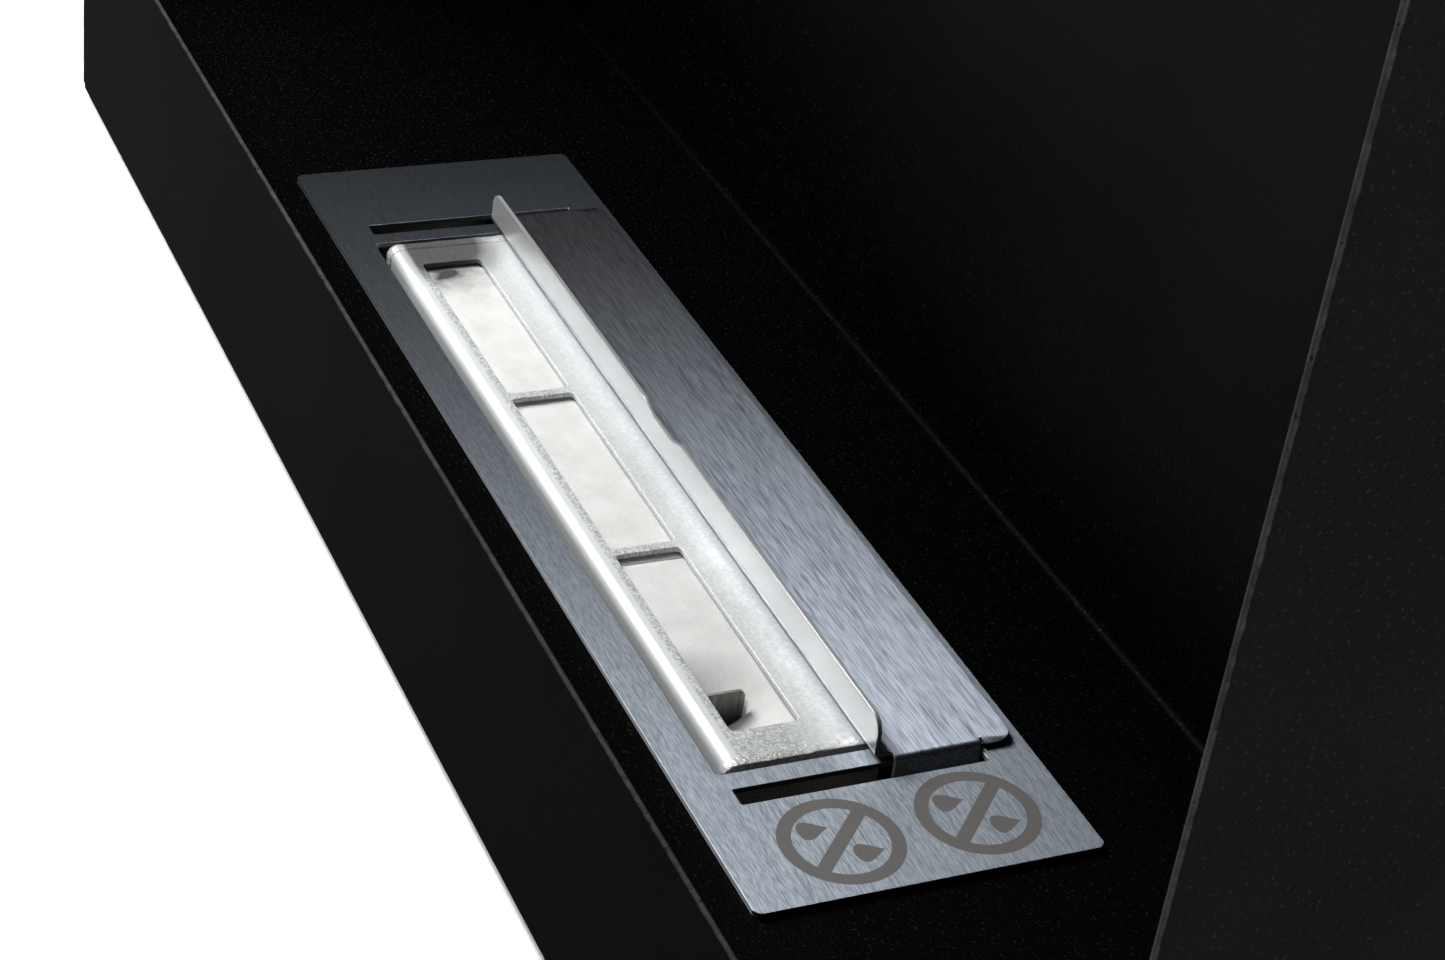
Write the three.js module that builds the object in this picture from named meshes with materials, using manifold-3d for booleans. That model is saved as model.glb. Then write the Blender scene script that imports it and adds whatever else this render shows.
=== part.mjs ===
// A wall or shelf fireplace that burns bio-ethanol: an open-fronted box of folded, black-coated
// sheet steel, with a stainless burner insert that drops into a cut-out in its hearth floor.
// A sliding shutter on the insert closes over the burner's three windows to put the flame out.
//
// Millimetres. +Z is up, +X is to the right for someone facing the opening, and -Y is the front.
// The origin is in the middle of the box's footprint, on the surface that it stands on.

import * as THREE from "three";
import { mergeVertices } from "three/addons/utils/BufferGeometryUtils.js";
import Module from "manifold-3d";

const wasm = await Module();
wasm.setup();

// ---------------------------------------------------------------- driving dimensions

const GAP = 0.3; // between pieces that touch

const WIDTH = 900;
const DEPTH = 240;
const HEIGHT = 500;
const SHEET = 2; // outer panels and the hearth
const BEND = 2; // inner radius of a fold in the outer panels

const FOOT_RISE = 2; // the case's lowest edge above the surface it stands on
const LIP_TOP = 105.3; // top edge of the front panel
const HEADER_DROP = 30; // folded front edge of the top panel
const FLANGE = 20; // inward folds of the side and top panels
const FRONT_FLANGE = 25; // inward fold along the bottom of the front panel

const HEARTH_TOP = 62; // upper face of the hearth floor
const BACK_WALL = 90.7; // front face of the inner back wall
const HEARTH_BEND = 3; // inner radius of the fold between floor and back wall
const CUTOUT = { halfX: 222, halfY: 48, radius: 4 }; // in the hearth floor, round the burner

const REAR_SHEET = 1.5;
const KEYHOLE = { x: 300, z: 440, radius: 6, slotHalf: 3, slotTop: 14 };
const SCREW_INSET = 11; // from the case's side to a screw's axis
const REAR_SCREW_HEIGHTS = [60, 250, 440];
const BASE_SCREW_Y = [-70, 90];
const SCREW = { shank: 1.9, head: 3.6, rim: 0.3, headHeight: 1.9, length: 9, clearance: 0.35, drive: 1.3 };
const FOOT = { radius: 10, chamfer: 0.8, x: 400, front: -85, back: 85 };

// The insert is drawn in a frame of its own, with its origin in the middle of the cover plate's
// upper face, and INSERT_AT sets that frame in the case's.
const INSERT_AT = new THREE.Vector3(0, -24.5, HEARTH_TOP + GAP + 2);

const PLATE = { halfX: 233, halfY: 58.35, thick: 2, radius: 3 };
const WELL = { halfX: 171, front: -44.3, back: 18, radius: 2 }; // the plate's opening for the tank
const GUIDE = { inner: 178.6, outer: 186, front: -42.3, back: 42.4, radius: 0.8 }; // for the shutter's tabs
const STUD = { x: 207, ys: [-27, 1], radius: 1.9, length: 8, clearance: 0.4 };
const NUT = { radius: 4.04, height: 3.2 };
const BRACKET = { sheet: 2, bend: 2, outer: 195, end: 217, under: -26, front: -37, back: 11, rise: 4 };

const TANK = { halfX: 168.5, front: -39.8, back: 14, depth: 50, sheet: 2, endSheet: 1.5, bend: 2 };
const WINDOW = { reach: 152, front: -31.1, back: -7.3, bar: 3.9, radius: 2 };
const TRAY = { edge: 10, bend: 1 }; // upward folds of the tank's bottom
const WOOL_TOP = -2.6; // below the tank's upper face
const GAUGE = { x: 129.5, sheet: 1.5, bend: 1, back: -16.3, bottom: -30, foot: 14, corner: 2.5, chamfer: 4 };

const SHUTTER = { halfX: 180.8, front: 6, back: 53.9, sheet: 1.5, under: 1.3, bend: 1.5, radius: 6 };
const LIP = { halfX: 177.4, height: 13, radius: 6, shoulder: 0.6 };
const NOTCH = { half: 18, depth: 2.6, slope: 10 }; // in the middle of the lip
const TAB = { front: 9.9, back: 42.1, bottom: -12 };
const KEEPER = { reach: 192, top: -3.6, front: 12, back: 40, bend: 1, rivetZ: -8.2 };
const CUTTER = 10; // how far a hole is cut to each side of a sheet
const RIVET = { radius: 1.5, hole: 1.8, head: 2.7, headHeight: 1.2 };

// ---------------------------------------------------------------- shapes

// Points of a line whose inner corners are rounded: each corner becomes an arc that is tangent
// to both of its sides.
function rounded(points, radii) {
  const line = [];
  points.forEach(([x, y], i) => {
    const radius = radii[i] ?? 0;
    if (i === 0 || i === points.length - 1 || radius === 0) {
      line.push(new THREE.Vector2(x, y));
      return;
    }
    const corner = new THREE.Vector2(x, y);
    const into = new THREE.Vector2(...points[i - 1]).sub(corner).normalize();
    const out = new THREE.Vector2(...points[i + 1]).sub(corner).normalize();
    const half = Math.acos(THREE.MathUtils.clamp(into.dot(out), -1, 1)) / 2;
    const middle = into.clone().add(out).normalize();
    const centre = corner.clone().addScaledVector(middle, radius / Math.sin(half));
    const from = corner.clone().addScaledVector(into, radius / Math.tan(half)).sub(centre);
    const to = corner.clone().addScaledVector(out, radius / Math.tan(half)).sub(centre);
    const sweep = Math.atan2(from.cross(to), from.dot(to));
    const steps = Math.max(2, Math.ceil(Math.abs(sweep) / (Math.PI / 12)));
    for (let k = 0; k <= steps; k += 1) {
      line.push(from.clone().rotateAround(new THREE.Vector2(), (sweep * k) / steps).add(centre));
    }
  });
  return line;
}

// The section of a folded sheet. The path is the sheet's left face, seen along the path, and the
// metal lies to its right. At each fold the inner face has the bend radius.
function foldedSheet(path, thick, bend) {
  const turns = path.map((_, i) => {
    if (i === 0 || i === path.length - 1) return 0;
    const [a, b, c] = [path[i - 1], path[i], path[i + 1]];
    return Math.sign((b[0] - a[0]) * (c[1] - b[1]) - (b[1] - a[1]) * (c[0] - b[0]));
  });
  const normal = (i) => {
    const [a, b] = [path[i], path[i + 1]];
    const length = Math.hypot(b[0] - a[0], b[1] - a[1]);
    return [(b[1] - a[1]) / length, -(b[0] - a[0]) / length];
  };
  const right = path.map(([x, y], i) => {
    const before = normal(Math.max(0, i - 1));
    const after = normal(Math.min(path.length - 2, i));
    const sum = [before[0] + after[0], before[1] + after[1]];
    const scale = (2 * thick) / (sum[0] ** 2 + sum[1] ** 2);
    return [x + sum[0] * scale, y + sum[1] * scale];
  });
  const leftRadii = turns.map((turn) => (turn === 0 ? 0 : bend + (turn < 0 ? thick : 0)));
  const rightRadii = turns.map((turn) => (turn === 0 ? 0 : bend + (turn > 0 ? thick : 0)));
  return new THREE.Shape([...rounded(path, leftRadii), ...rounded(right, rightRadii).reverse()]);
}

// A rectangle with round corners.
function plateOutline(x0, y0, x1, y1, radius) {
  const corners = [[x0, y0], [x1, y0], [x1, y1], [x0, y1]];
  const middle = [(x0 + x1) / 2, y0];
  const line = rounded([middle, corners[1], corners[2], corners[3], corners[0], middle],
    [0, radius, radius, radius, radius, 0]);
  line.pop();
  return new THREE.Shape(line);
}

// A section of the right-hand piece, turned over for the left-hand one.
function mirrored(shape, side) {
  return new THREE.Shape(shape.getPoints().map((p) => new THREE.Vector2(side * p.x, p.y)));
}

function circle(x, y, radius, segments = 24) {
  const points = [];
  for (let k = 0; k < segments; k += 1) {
    const angle = (2 * Math.PI * k) / segments;
    points.push(new THREE.Vector2(x + radius * Math.cos(angle), y + radius * Math.sin(angle)));
  }
  return new THREE.Path(points);
}

// ---------------------------------------------------------------- solids

// A shape in (x, y), extruded from z0 up to z1.
function alongZ(shape, z0, z1) {
  return new THREE.ExtrudeGeometry(shape, { depth: z1 - z0, bevelEnabled: false }).translate(0, 0, z0);
}

// A shape in (y, z), extruded from x0 to x1.
function alongX(shape, x0, x1) {
  const turn = new THREE.Matrix4().makeBasis(
    new THREE.Vector3(0, 1, 0), new THREE.Vector3(0, 0, 1), new THREE.Vector3(1, 0, 0));
  return alongZ(shape, x0, x1).applyMatrix4(turn);
}

// A shape in (x, z), extruded from y0 to y1.
function alongY(shape, y0, y1) {
  return alongZ(shape, -y1, -y0).rotateX(Math.PI / 2);
}

function box(x0, y0, z0, x1, y1, z1) {
  return new THREE.BoxGeometry(x1 - x0, y1 - y0, z1 - z0)
    .translate((x0 + x1) / 2, (y0 + y1) / 2, (z0 + z1) / 2);
}

// A turned piece on the Z axis: the profile runs from the axis, round the outside, to the axis.
function turned(profile, segments = 14) {
  const points = profile.map(([radius, z]) => new THREE.Vector2(radius, z));
  return new THREE.LatheGeometry(points, segments).rotateX(Math.PI / 2);
}

function rod(radius, z0, z1, segments = 14) {
  return new THREE.CylinderGeometry(radius, radius, z1 - z0, segments)
    .rotateX(Math.PI / 2)
    .translate(0, 0, (z0 + z1) / 2);
}

// ---------------------------------------------------------------- joining and cutting

function toSolid(geometry) {
  const bare = geometry.clone();
  bare.deleteAttribute("normal");
  bare.deleteAttribute("uv");
  const merged = mergeVertices(bare, 1e-4);
  return new wasm.Manifold(new wasm.Mesh({
    numProp: 3,
    vertProperties: merged.attributes.position.array,
    triVerts: new Uint32Array(merged.index.array),
  }));
}

function toGeometry(solid) {
  const { vertProperties, triVerts } = solid.getMesh();
  const geometry = new THREE.BufferGeometry();
  geometry.setAttribute("position", new THREE.BufferAttribute(vertProperties, 3));
  geometry.setIndex(new THREE.BufferAttribute(triVerts, 1));
  geometry.computeVertexNormals();
  return geometry;
}

const join = (...parts) => toGeometry(parts.map(toSolid).reduce((a, b) => a.add(b)));
const cut = (part, ...tools) =>
  toGeometry(tools.map(toSolid).reduce((a, b) => a.subtract(b), toSolid(part)));
const common = (...parts) => toGeometry(parts.map(toSolid).reduce((a, b) => a.intersect(b)));

// ---------------------------------------------------------------- materials and naming

const finish = (color, roughness, metalness) => () =>
  new THREE.MeshStandardMaterial({ color, roughness, metalness });

const blackCoat = finish(0x151515, 0.55, 0.2);
const brushedSteel = finish(0x8d95a0, 0.35, 0.9);
const brightSteel = finish(0xd5dadd, 0.3, 0.9);
const polishedSteel = finish(0xb9c0c8, 0.12, 1.0);
const darkSteel = finish(0x3a3a3c, 0.4, 0.8);
const ceramicWool = finish(0xe6e4e0, 0.95, 0.0);
const zinc = finish(0xa9adb0, 0.4, 0.9);
const rubber = finish(0x202020, 0.9, 0.0);

function piece(name, geometry, material) {
  const mesh = new THREE.Mesh(geometry, material());
  mesh.name = name;
  return mesh;
}

const SIDES = [["left", -1], ["right", 1]];
const half = WIDTH / 2;
const front = -DEPTH / 2;
const rear = DEPTH / 2;
const inside = half - SHEET - GAP; // half the width of a panel fitted between the sides
const rearPanelFront = rear - SHEET - GAP - REAR_SHEET;
const baseTop = FOOT_RISE + SHEET + GAP + SHEET;

// ---------------------------------------------------------------- the case

// A block beside one of the sides, from its inner and outer distances from the middle.
function sideBox(side, inner, outer, [y0, y1], [z0, z1]) {
  const [x0, x1] = side > 0 ? [inner, outer] : [-outer, -inner];
  return box(x0, y0, z0, x1, y1, z1);
}

// A side: one sheet with its rear edge folded in to face the wall, and a bottom flange that
// carries the base panel.
function sidePanel(side) {
  const outline = [[front, half], [rear, half], [rear, half - FLANGE]];
  const profile = foldedSheet(outline, SHEET, BEND);
  const points = profile.getPoints().map((p) => new THREE.Vector2(side * p.y, p.x));
  const sheet = alongZ(new THREE.Shape(points), FOOT_RISE, HEIGHT);
  const flange = sideBox(side, half - FLANGE, half - SHEET / 2,
    [front + FRONT_FLANGE + GAP, rear - SHEET - GAP], [FOOT_RISE, FOOT_RISE + SHEET]);
  const topNotch = sideBox(side, half - FLANGE - 1, half - SHEET,
    [front, rear + 1], [HEIGHT - FLANGE - GAP, HEIGHT + 1]);
  const rearHoles = REAR_SCREW_HEIGHTS.map((z) => rearScrewHole(side, z));
  const baseHoles = BASE_SCREW_Y.map((y) => baseScrewHole(side, y));
  return cut(join(sheet, flange), topNotch, ...rearHoles, ...baseHoles);
}

// The top: folded down along the front as a header, and down along the rear.
function topPanel() {
  const path = [
    [front, HEIGHT - HEADER_DROP],
    [front, HEIGHT],
    [rear, HEIGHT],
    [rear, HEIGHT - FLANGE],
  ];
  return alongX(foldedSheet(path, SHEET, BEND), -inside, inside);
}

// The front: the upright lip that hides the burner's tank, with its bottom edge folded in.
function frontPanel() {
  const path = [[front + FRONT_FLANGE, FOOT_RISE], [front, FOOT_RISE], [front, LIP_TOP]];
  return alongX(foldedSheet(path, SHEET, BEND), -inside, inside);
}

function basePanel() {
  const z0 = FOOT_RISE + SHEET + GAP;
  const sheet = box(-inside, front + SHEET + BEND, z0, inside, rearPanelFront - GAP, z0 + SHEET);
  const holes = SIDES.flatMap(([, side]) => BASE_SCREW_Y.map((y) => baseScrewHole(side, y)));
  return cut(sheet, ...holes);
}

// The hearth: floor and inner back wall folded from one sheet, with a short front fold that is
// welded to the inside of the front panel.
function hearthLiner() {
  const path = [
    [front + SHEET + GAP, HEARTH_TOP - FLANGE],
    [front + SHEET + GAP, HEARTH_TOP],
    [BACK_WALL, HEARTH_TOP],
    [BACK_WALL, HEIGHT - SHEET - GAP],
  ];
  const sheet = alongX(foldedSheet(path, SHEET, HEARTH_BEND), -inside, inside);
  const y = INSERT_AT.y;
  const opening = plateOutline(-CUTOUT.halfX, y - CUTOUT.halfY, CUTOUT.halfX, y + CUTOUT.halfY,
    CUTOUT.radius);
  return cut(sheet, alongZ(opening, HEARTH_TOP - 2 * SHEET, HEARTH_TOP + SHEET));
}

// The rear panel, with two keyhole slots that hang the case on wall screws.
function rearPanel() {
  const wide = inside - BEND;
  const shape = plateOutline(-wide, baseTop + GAP, wide, HEIGHT - SHEET - BEND - GAP, 1);
  const { x, z, radius, slotHalf, slotTop } = KEYHOLE;
  const spread = Math.asin(slotHalf / radius);
  SIDES.forEach(([, side]) => {
    const keyhole = new THREE.Path();
    keyhole.absarc(side * x, z, radius, Math.PI / 2 + spread, Math.PI / 2 - spread + 2 * Math.PI);
    keyhole.absarc(side * x, z + slotTop - slotHalf, slotHalf, 0, Math.PI);
    keyhole.closePath();
    shape.holes.push(keyhole);
  });
  const sheet = alongY(shape, rearPanelFront, rearPanelFront + REAR_SHEET);
  const holes = SIDES.flatMap(([, side]) => REAR_SCREW_HEIGHTS.map((z) => rearScrewHole(side, z)));
  return cut(sheet, ...holes);
}

// ---------------------------------------------------------------- the case's screws and feet

// A countersunk screw that points up, with its head's flat face at z = 0 and a round drive recess.
function countersunkScrew() {
  return turned([
    [0, 1],
    [SCREW.drive, 1],
    [SCREW.drive, 0],
    [SCREW.head, 0],
    [SCREW.head, SCREW.rim],
    [SCREW.shank, SCREW.headHeight],
    [SCREW.shank, SCREW.length - 1],
    [SCREW.shank - 0.7, SCREW.length],
    [0, SCREW.length],
  ]);
}

// The space that such a screw needs, with clearance all round.
function countersunkHole() {
  const { shank, head, rim, headHeight, length, clearance } = SCREW;
  return turned([
    [0, -1],
    [head + clearance, -1],
    [head + clearance, rim + clearance],
    [shank + clearance, headHeight + clearance],
    [shank + clearance, length + 1],
    [0, length + 1],
  ]);
}

const atRear = (geometry, side, z) =>
  geometry.rotateX(Math.PI / 2).translate(side * (half - SCREW_INSET), rear, z);
const atBase = (geometry, side, y) =>
  geometry.translate(side * (half - SCREW_INSET), y, FOOT_RISE);
const rearScrewHole = (side, z) => atRear(countersunkHole(), side, z);
const baseScrewHole = (side, y) => atBase(countersunkHole(), side, y);

function rearScrews() {
  return SIDES.flatMap(([name, side]) => REAR_SCREW_HEIGHTS.map((z, i) =>
    piece(`rear_screw_${name}_${i + 1}`, atRear(countersunkScrew(), side, z), zinc)));
}

function baseScrews() {
  return SIDES.flatMap(([name, side]) => BASE_SCREW_Y.map((y, i) =>
    piece(`base_screw_${name}_${i + 1}`, atBase(countersunkScrew(), side, y), zinc)));
}

// A low rubber pad, stuck under the base panel inside the front panel's flange.
function footPads() {
  const top = FOOT_RISE + SHEET;
  const pad = () => turned([
    [0, 0],
    [FOOT.radius - FOOT.chamfer, 0],
    [FOOT.radius, FOOT.chamfer],
    [FOOT.radius, top],
    [0, top],
  ], 24);
  return SIDES.flatMap(([name, side]) => [["front", FOOT.front], ["back", FOOT.back]].map(
    ([end, y]) => piece(`foot_pad_${end}_${name}`, pad().translate(side * FOOT.x, y, 0), rubber)));
}

// ---------------------------------------------------------------- the burner insert

// The plate that covers the cut-out: a long well for the tank, a guide slot across each end for
// the shutter's tabs, and four studs below for the tank's brackets.
function coverPlate() {
  const { halfX, halfY, thick, radius } = PLATE;
  const shape = plateOutline(-halfX, -halfY, halfX, halfY, radius);
  shape.holes.push(plateOutline(-WELL.halfX, WELL.front, WELL.halfX, WELL.back, WELL.radius));
  SIDES.forEach(([, side]) => {
    const [x0, x1] = side > 0 ? [GUIDE.inner, GUIDE.outer] : [-GUIDE.outer, -GUIDE.inner];
    shape.holes.push(plateOutline(x0, GUIDE.front, x1, GUIDE.back, GUIDE.radius));
  });
  const studs = SIDES.flatMap(([, side]) => STUD.ys.map((y) =>
    rod(STUD.radius, -thick - STUD.length, -thick / 2).translate(side * STUD.x, y, 0)));
  return join(alongZ(shape, -thick, 0), ...studs);
}

// The tank's front, top and back, folded from one sheet, with the three windows cut in its top.
function tankShell() {
  const { halfX, front: y0, back: y1, depth, sheet, endSheet, bend } = TANK;
  const path = [[y0, -depth], [y0, 0], [y1, 0], [y1, -depth]];
  const long = halfX - endSheet - GAP;
  const windows = windowSpans().map(([x0, x1]) =>
    alongZ(plateOutline(x0, WINDOW.front, x1, WINDOW.back, WINDOW.radius), -2 * sheet, sheet));
  return cut(alongX(foldedSheet(path, sheet, bend), -long, long), ...windows);
}

// Three windows of one length, with a crossbar between each pair.
function windowSpans() {
  const length = (2 * WINDOW.reach - 2 * WINDOW.bar) / 3;
  return [0, 1, 2].map((i) => {
    const x0 = -WINDOW.reach + i * (length + WINDOW.bar);
    return [x0, x0 + length];
  });
}

function tankEnd(side) {
  const { halfX, front: y0, back: y1, depth, sheet, endSheet, bend } = TANK;
  const outer = bend + sheet;
  const line = rounded([[y0, -depth], [y0, 0], [y1, 0], [y1, -depth]], [0, outer, outer, 0]);
  const x0 = side > 0 ? halfX - endSheet : -halfX;
  return alongX(new THREE.Shape(line), x0, x0 + endSheet);
}

// The tank's bottom: a shallow tray, with its front and back edges folded up inside the shell.
function tankBottom() {
  const { halfX, front: y0, back: y1, depth, sheet, endSheet } = TANK;
  const wall = sheet + GAP;
  const path = [
    [y1 - wall, -depth + TRAY.edge],
    [y1 - wall, -depth],
    [y0 + wall, -depth],
    [y0 + wall, -depth + TRAY.edge],
  ];
  const long = halfX - endSheet - GAP;
  return alongX(foldedSheet(path, endSheet, TRAY.bend), -long, long);
}

// Three blocks of ceramic wool fill the tank and hold the fuel. The right one is notched round
// the level gauge.
function woolBlocks() {
  const reach = TANK.halfX - TANK.endSheet - 2 * GAP;
  const length = (2 * reach) / 3;
  const wall = TANK.sheet + TANK.endSheet + 2 * GAP;
  const y0 = TANK.front + wall;
  const y1 = TANK.back - wall;
  const z0 = -TANK.depth + TANK.endSheet + GAP;
  return ["left", "middle", "right"].map((name, i) => {
    const x0 = -reach + i * length + GAP / 2;
    const block = box(x0, y0, z0, x0 + length - GAP, y1, WOOL_TOP);
    const notch = box(GAUGE.x - 1, y0 - 1, GAUGE.bottom - 1,
      GAUGE.x + GAUGE.foot + 1, GAUGE.back + 1, 0);
    return piece(`wool_block_${name}`, name === "right" ? cut(block, notch) : block, ceramicWool);
  });
}

// The fuel level gauge: a blade across the right-hand window with a rounded top corner, and a
// foot folded along the tank's front wall.
function levelGauge() {
  const wall = TANK.front + TANK.sheet + GAP;
  const { x, sheet, bend, back, bottom, foot, corner, chamfer } = GAUGE;
  const path = [[x + foot, wall], [x, wall], [x, back]];
  const top = -TANK.sheet - GAP;
  const blade = alongZ(foldedSheet(path, sheet, bend), bottom, top);
  const corners = [
    [back, bottom],
    [back, top],
    [wall + chamfer, top],
    [wall, top - chamfer],
    [wall, bottom],
  ];
  const sideView = new THREE.Shape(rounded(corners, [0, corner, 0, 0, 0]));
  return common(blade, alongX(sideView, x - 1, x + foot + 1));
}

// A bracket that hangs one end of the tank: down the tank's end, out under the shutter's tab,
// up past it, and out along the plate's underside to its two studs.
function tankBracket(side) {
  const { sheet, bend, outer, end, under, front: y0, back: y1, rise } = BRACKET;
  const path = [
    [TANK.halfX + GAP, -TANK.depth + rise],
    [TANK.halfX + GAP, under],
    [outer, under],
    [outer, -PLATE.thick - GAP],
    [end, -PLATE.thick - GAP],
  ];
  const holes = STUD.ys.map((y) =>
    rod(STUD.radius + STUD.clearance, -CUTTER, 0).translate(side * STUD.x, y, 0));
  return cut(alongY(mirrored(foldedSheet(path, sheet, bend), side), y0, y1), ...holes);
}

function studNuts() {
  const top = -PLATE.thick - GAP - BRACKET.sheet - GAP;
  const hexagon = () => {
    const shape = new THREE.Shape(circle(0, 0, NUT.radius, 6).getPoints());
    shape.holes.push(circle(0, 0, STUD.radius + GAP, 14));
    return alongZ(shape, top - NUT.height, top);
  };
  return SIDES.flatMap(([name, side]) => STUD.ys.map((y, i) =>
    piece(`stud_nut_${name}_${i + 1}`, hexagon().translate(side * STUD.x, y, 0), zinc)));
}

// ---------------------------------------------------------------- the sliding shutter

// One bent sheet: a flat cover, an upright lip along its front edge with a finger notch in the
// middle, and a tab folded down through each guide slot.
function shutterPlate() {
  const { halfX, front: y0, back: y1, sheet, under, bend, radius } = SHUTTER;
  const top = under + sheet;
  const lipTop = top + LIP.height;
  const path = [[y0 + sheet, lipTop], [y0 + sheet, top], [y1, top]];
  const folded = alongX(foldedSheet(path, sheet, bend), -halfX, halfX);
  const plan = alongZ(plateOutline(-halfX, y0 - radius, halfX, y1, radius), -1, lipTop + 1);
  const face = alongY(lipOutline(top, lipTop), y0 - 1, y1 + 1);
  const tabs = SIDES.map(([, side]) => shutterTab(side, top, sheet));
  return join(common(folded, plan, face), ...tabs);
}

// The front view of the shutter above its tabs: the lip is a little shorter than the cover, its
// top corners are round, and the notch's sides are S curves.
function lipOutline(top, lipTop) {
  const { halfX, radius } = LIP;
  const shoulder = top + LIP.shoulder;
  const shape = new THREE.Shape();
  shape.moveTo(-SHUTTER.halfX, 0);
  shape.lineTo(SHUTTER.halfX, 0);
  shape.lineTo(SHUTTER.halfX, shoulder);
  shape.lineTo(halfX, shoulder);
  shape.absarc(halfX - radius, lipTop - radius, radius, 0, Math.PI / 2);
  [1, -1].forEach((side) => {
    const [high, low] = [side * NOTCH.half, side * (NOTCH.half - NOTCH.slope)];
    const middle = (high + low) / 2;
    const [x0, z0] = side > 0 ? [high, lipTop] : [low, lipTop - NOTCH.depth];
    const [x1, z1] = side > 0 ? [low, lipTop - NOTCH.depth] : [high, lipTop];
    shape.lineTo(x0, z0);
    shape.bezierCurveTo(middle, z0, middle, z1, x1, z1);
  });
  shape.absarc(-halfX + radius, lipTop - radius, radius, Math.PI / 2, Math.PI);
  shape.lineTo(-halfX, shoulder);
  shape.lineTo(-SHUTTER.halfX, shoulder);
  return shape;
}

function shutterTab(side, top, sheet) {
  const outer = SHUTTER.halfX;
  const tab = sideBox(side, outer - sheet, outer, [TAB.front, TAB.back], [TAB.bottom, top]);
  return cut(tab, rivetHole(side));
}

const rivetY = (KEEPER.front + KEEPER.back) / 2;

function rivetHole(side) {
  return rod(RIVET.hole, -CUTTER, CUTTER)
    .rotateY(Math.PI / 2)
    .translate(side * SHUTTER.halfX, rivetY, KEEPER.rivetZ);
}

// A small angle on each tab, whose flat leg runs under the cover plate so that the shutter can't
// be pulled up out of its slots.
function shutterKeeper(side) {
  const x = SHUTTER.halfX + GAP;
  const { sheet } = SHUTTER;
  const path = [[x, TAB.bottom], [x, KEEPER.top], [KEEPER.reach, KEEPER.top]];
  const profile = mirrored(foldedSheet(path, sheet, KEEPER.bend), side);
  return cut(alongY(profile, KEEPER.front, KEEPER.back), rivetHole(side));
}

function keeperRivet(side) {
  const inner = SHUTTER.halfX - SHUTTER.sheet - GAP;
  const outer = SHUTTER.halfX + GAP + SHUTTER.sheet + GAP;
  const { radius, head, headHeight } = RIVET;
  return turned([
    [0, inner - headHeight],
    [head * 0.7, inner - headHeight],
    [head, inner - headHeight * 0.4],
    [head, inner],
    [radius, inner],
    [radius, outer],
    [head, outer],
    [head, outer + headHeight * 0.4],
    [head * 0.7, outer + headHeight],
    [0, outer + headHeight],
  ])
    .rotateY((side * Math.PI) / 2)
    .translate(0, rivetY, KEEPER.rivetZ);
}

// ---------------------------------------------------------------- the assembly

const caseGroup = new THREE.Group();
caseGroup.add(
  ...SIDES.map(([name, side]) => piece(`${name}_side_panel`, sidePanel(side), blackCoat)),
  piece("top_panel", topPanel(), blackCoat),
  piece("front_panel", frontPanel(), blackCoat),
  piece("base_panel", basePanel(), blackCoat),
  piece("hearth_liner", hearthLiner(), blackCoat),
  piece("rear_panel", rearPanel(), blackCoat),
  ...rearScrews(),
  ...baseScrews(),
  ...footPads(),
);

const insertGroup = new THREE.Group();
insertGroup.position.copy(INSERT_AT);
insertGroup.add(
  piece("cover_plate", coverPlate(), brushedSteel),
  piece("tank_shell", tankShell(), brightSteel),
  ...SIDES.map(([name, side]) => piece(`tank_end_${name}`, tankEnd(side), brightSteel)),
  piece("tank_bottom", tankBottom(), brightSteel),
  ...woolBlocks(),
  piece("level_gauge", levelGauge(), darkSteel),
  ...SIDES.map(([name, side]) => piece(`tank_bracket_${name}`, tankBracket(side), darkSteel)),
  ...studNuts(),
);

const shutterGroup = new THREE.Group();
shutterGroup.add(
  piece("shutter_plate", shutterPlate(), polishedSteel),
  ...SIDES.map(([name, side]) => piece(`shutter_keeper_${name}`, shutterKeeper(side), darkSteel)),
  ...SIDES.map(([name, side]) => piece(`keeper_rivet_${name}`, keeperRivet(side), zinc)),
);
insertGroup.add(shutterGroup);

const fireplace = new THREE.Group();
fireplace.add(caseGroup, insertGroup);

export default fireplace;
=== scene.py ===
# %% [markdown]
# # A bio-ethanol fireplace of folded sheet steel
# The real object is a black, powder-coated steel case with an open front. A stainless burner drops
# into a cut-out in its floor, and a sliding shutter on the burner puts the flame out. Nearly every
# piece is a flat blank that was laser cut and then folded, so this lesson makes one blank tool and
# one fold tool, and uses them again and again.

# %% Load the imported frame
import math

import bpy
import numpy as np
from mathutils import Matrix, Vector
from mathutils.geometry import delaunay_2d_cdt


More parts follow.
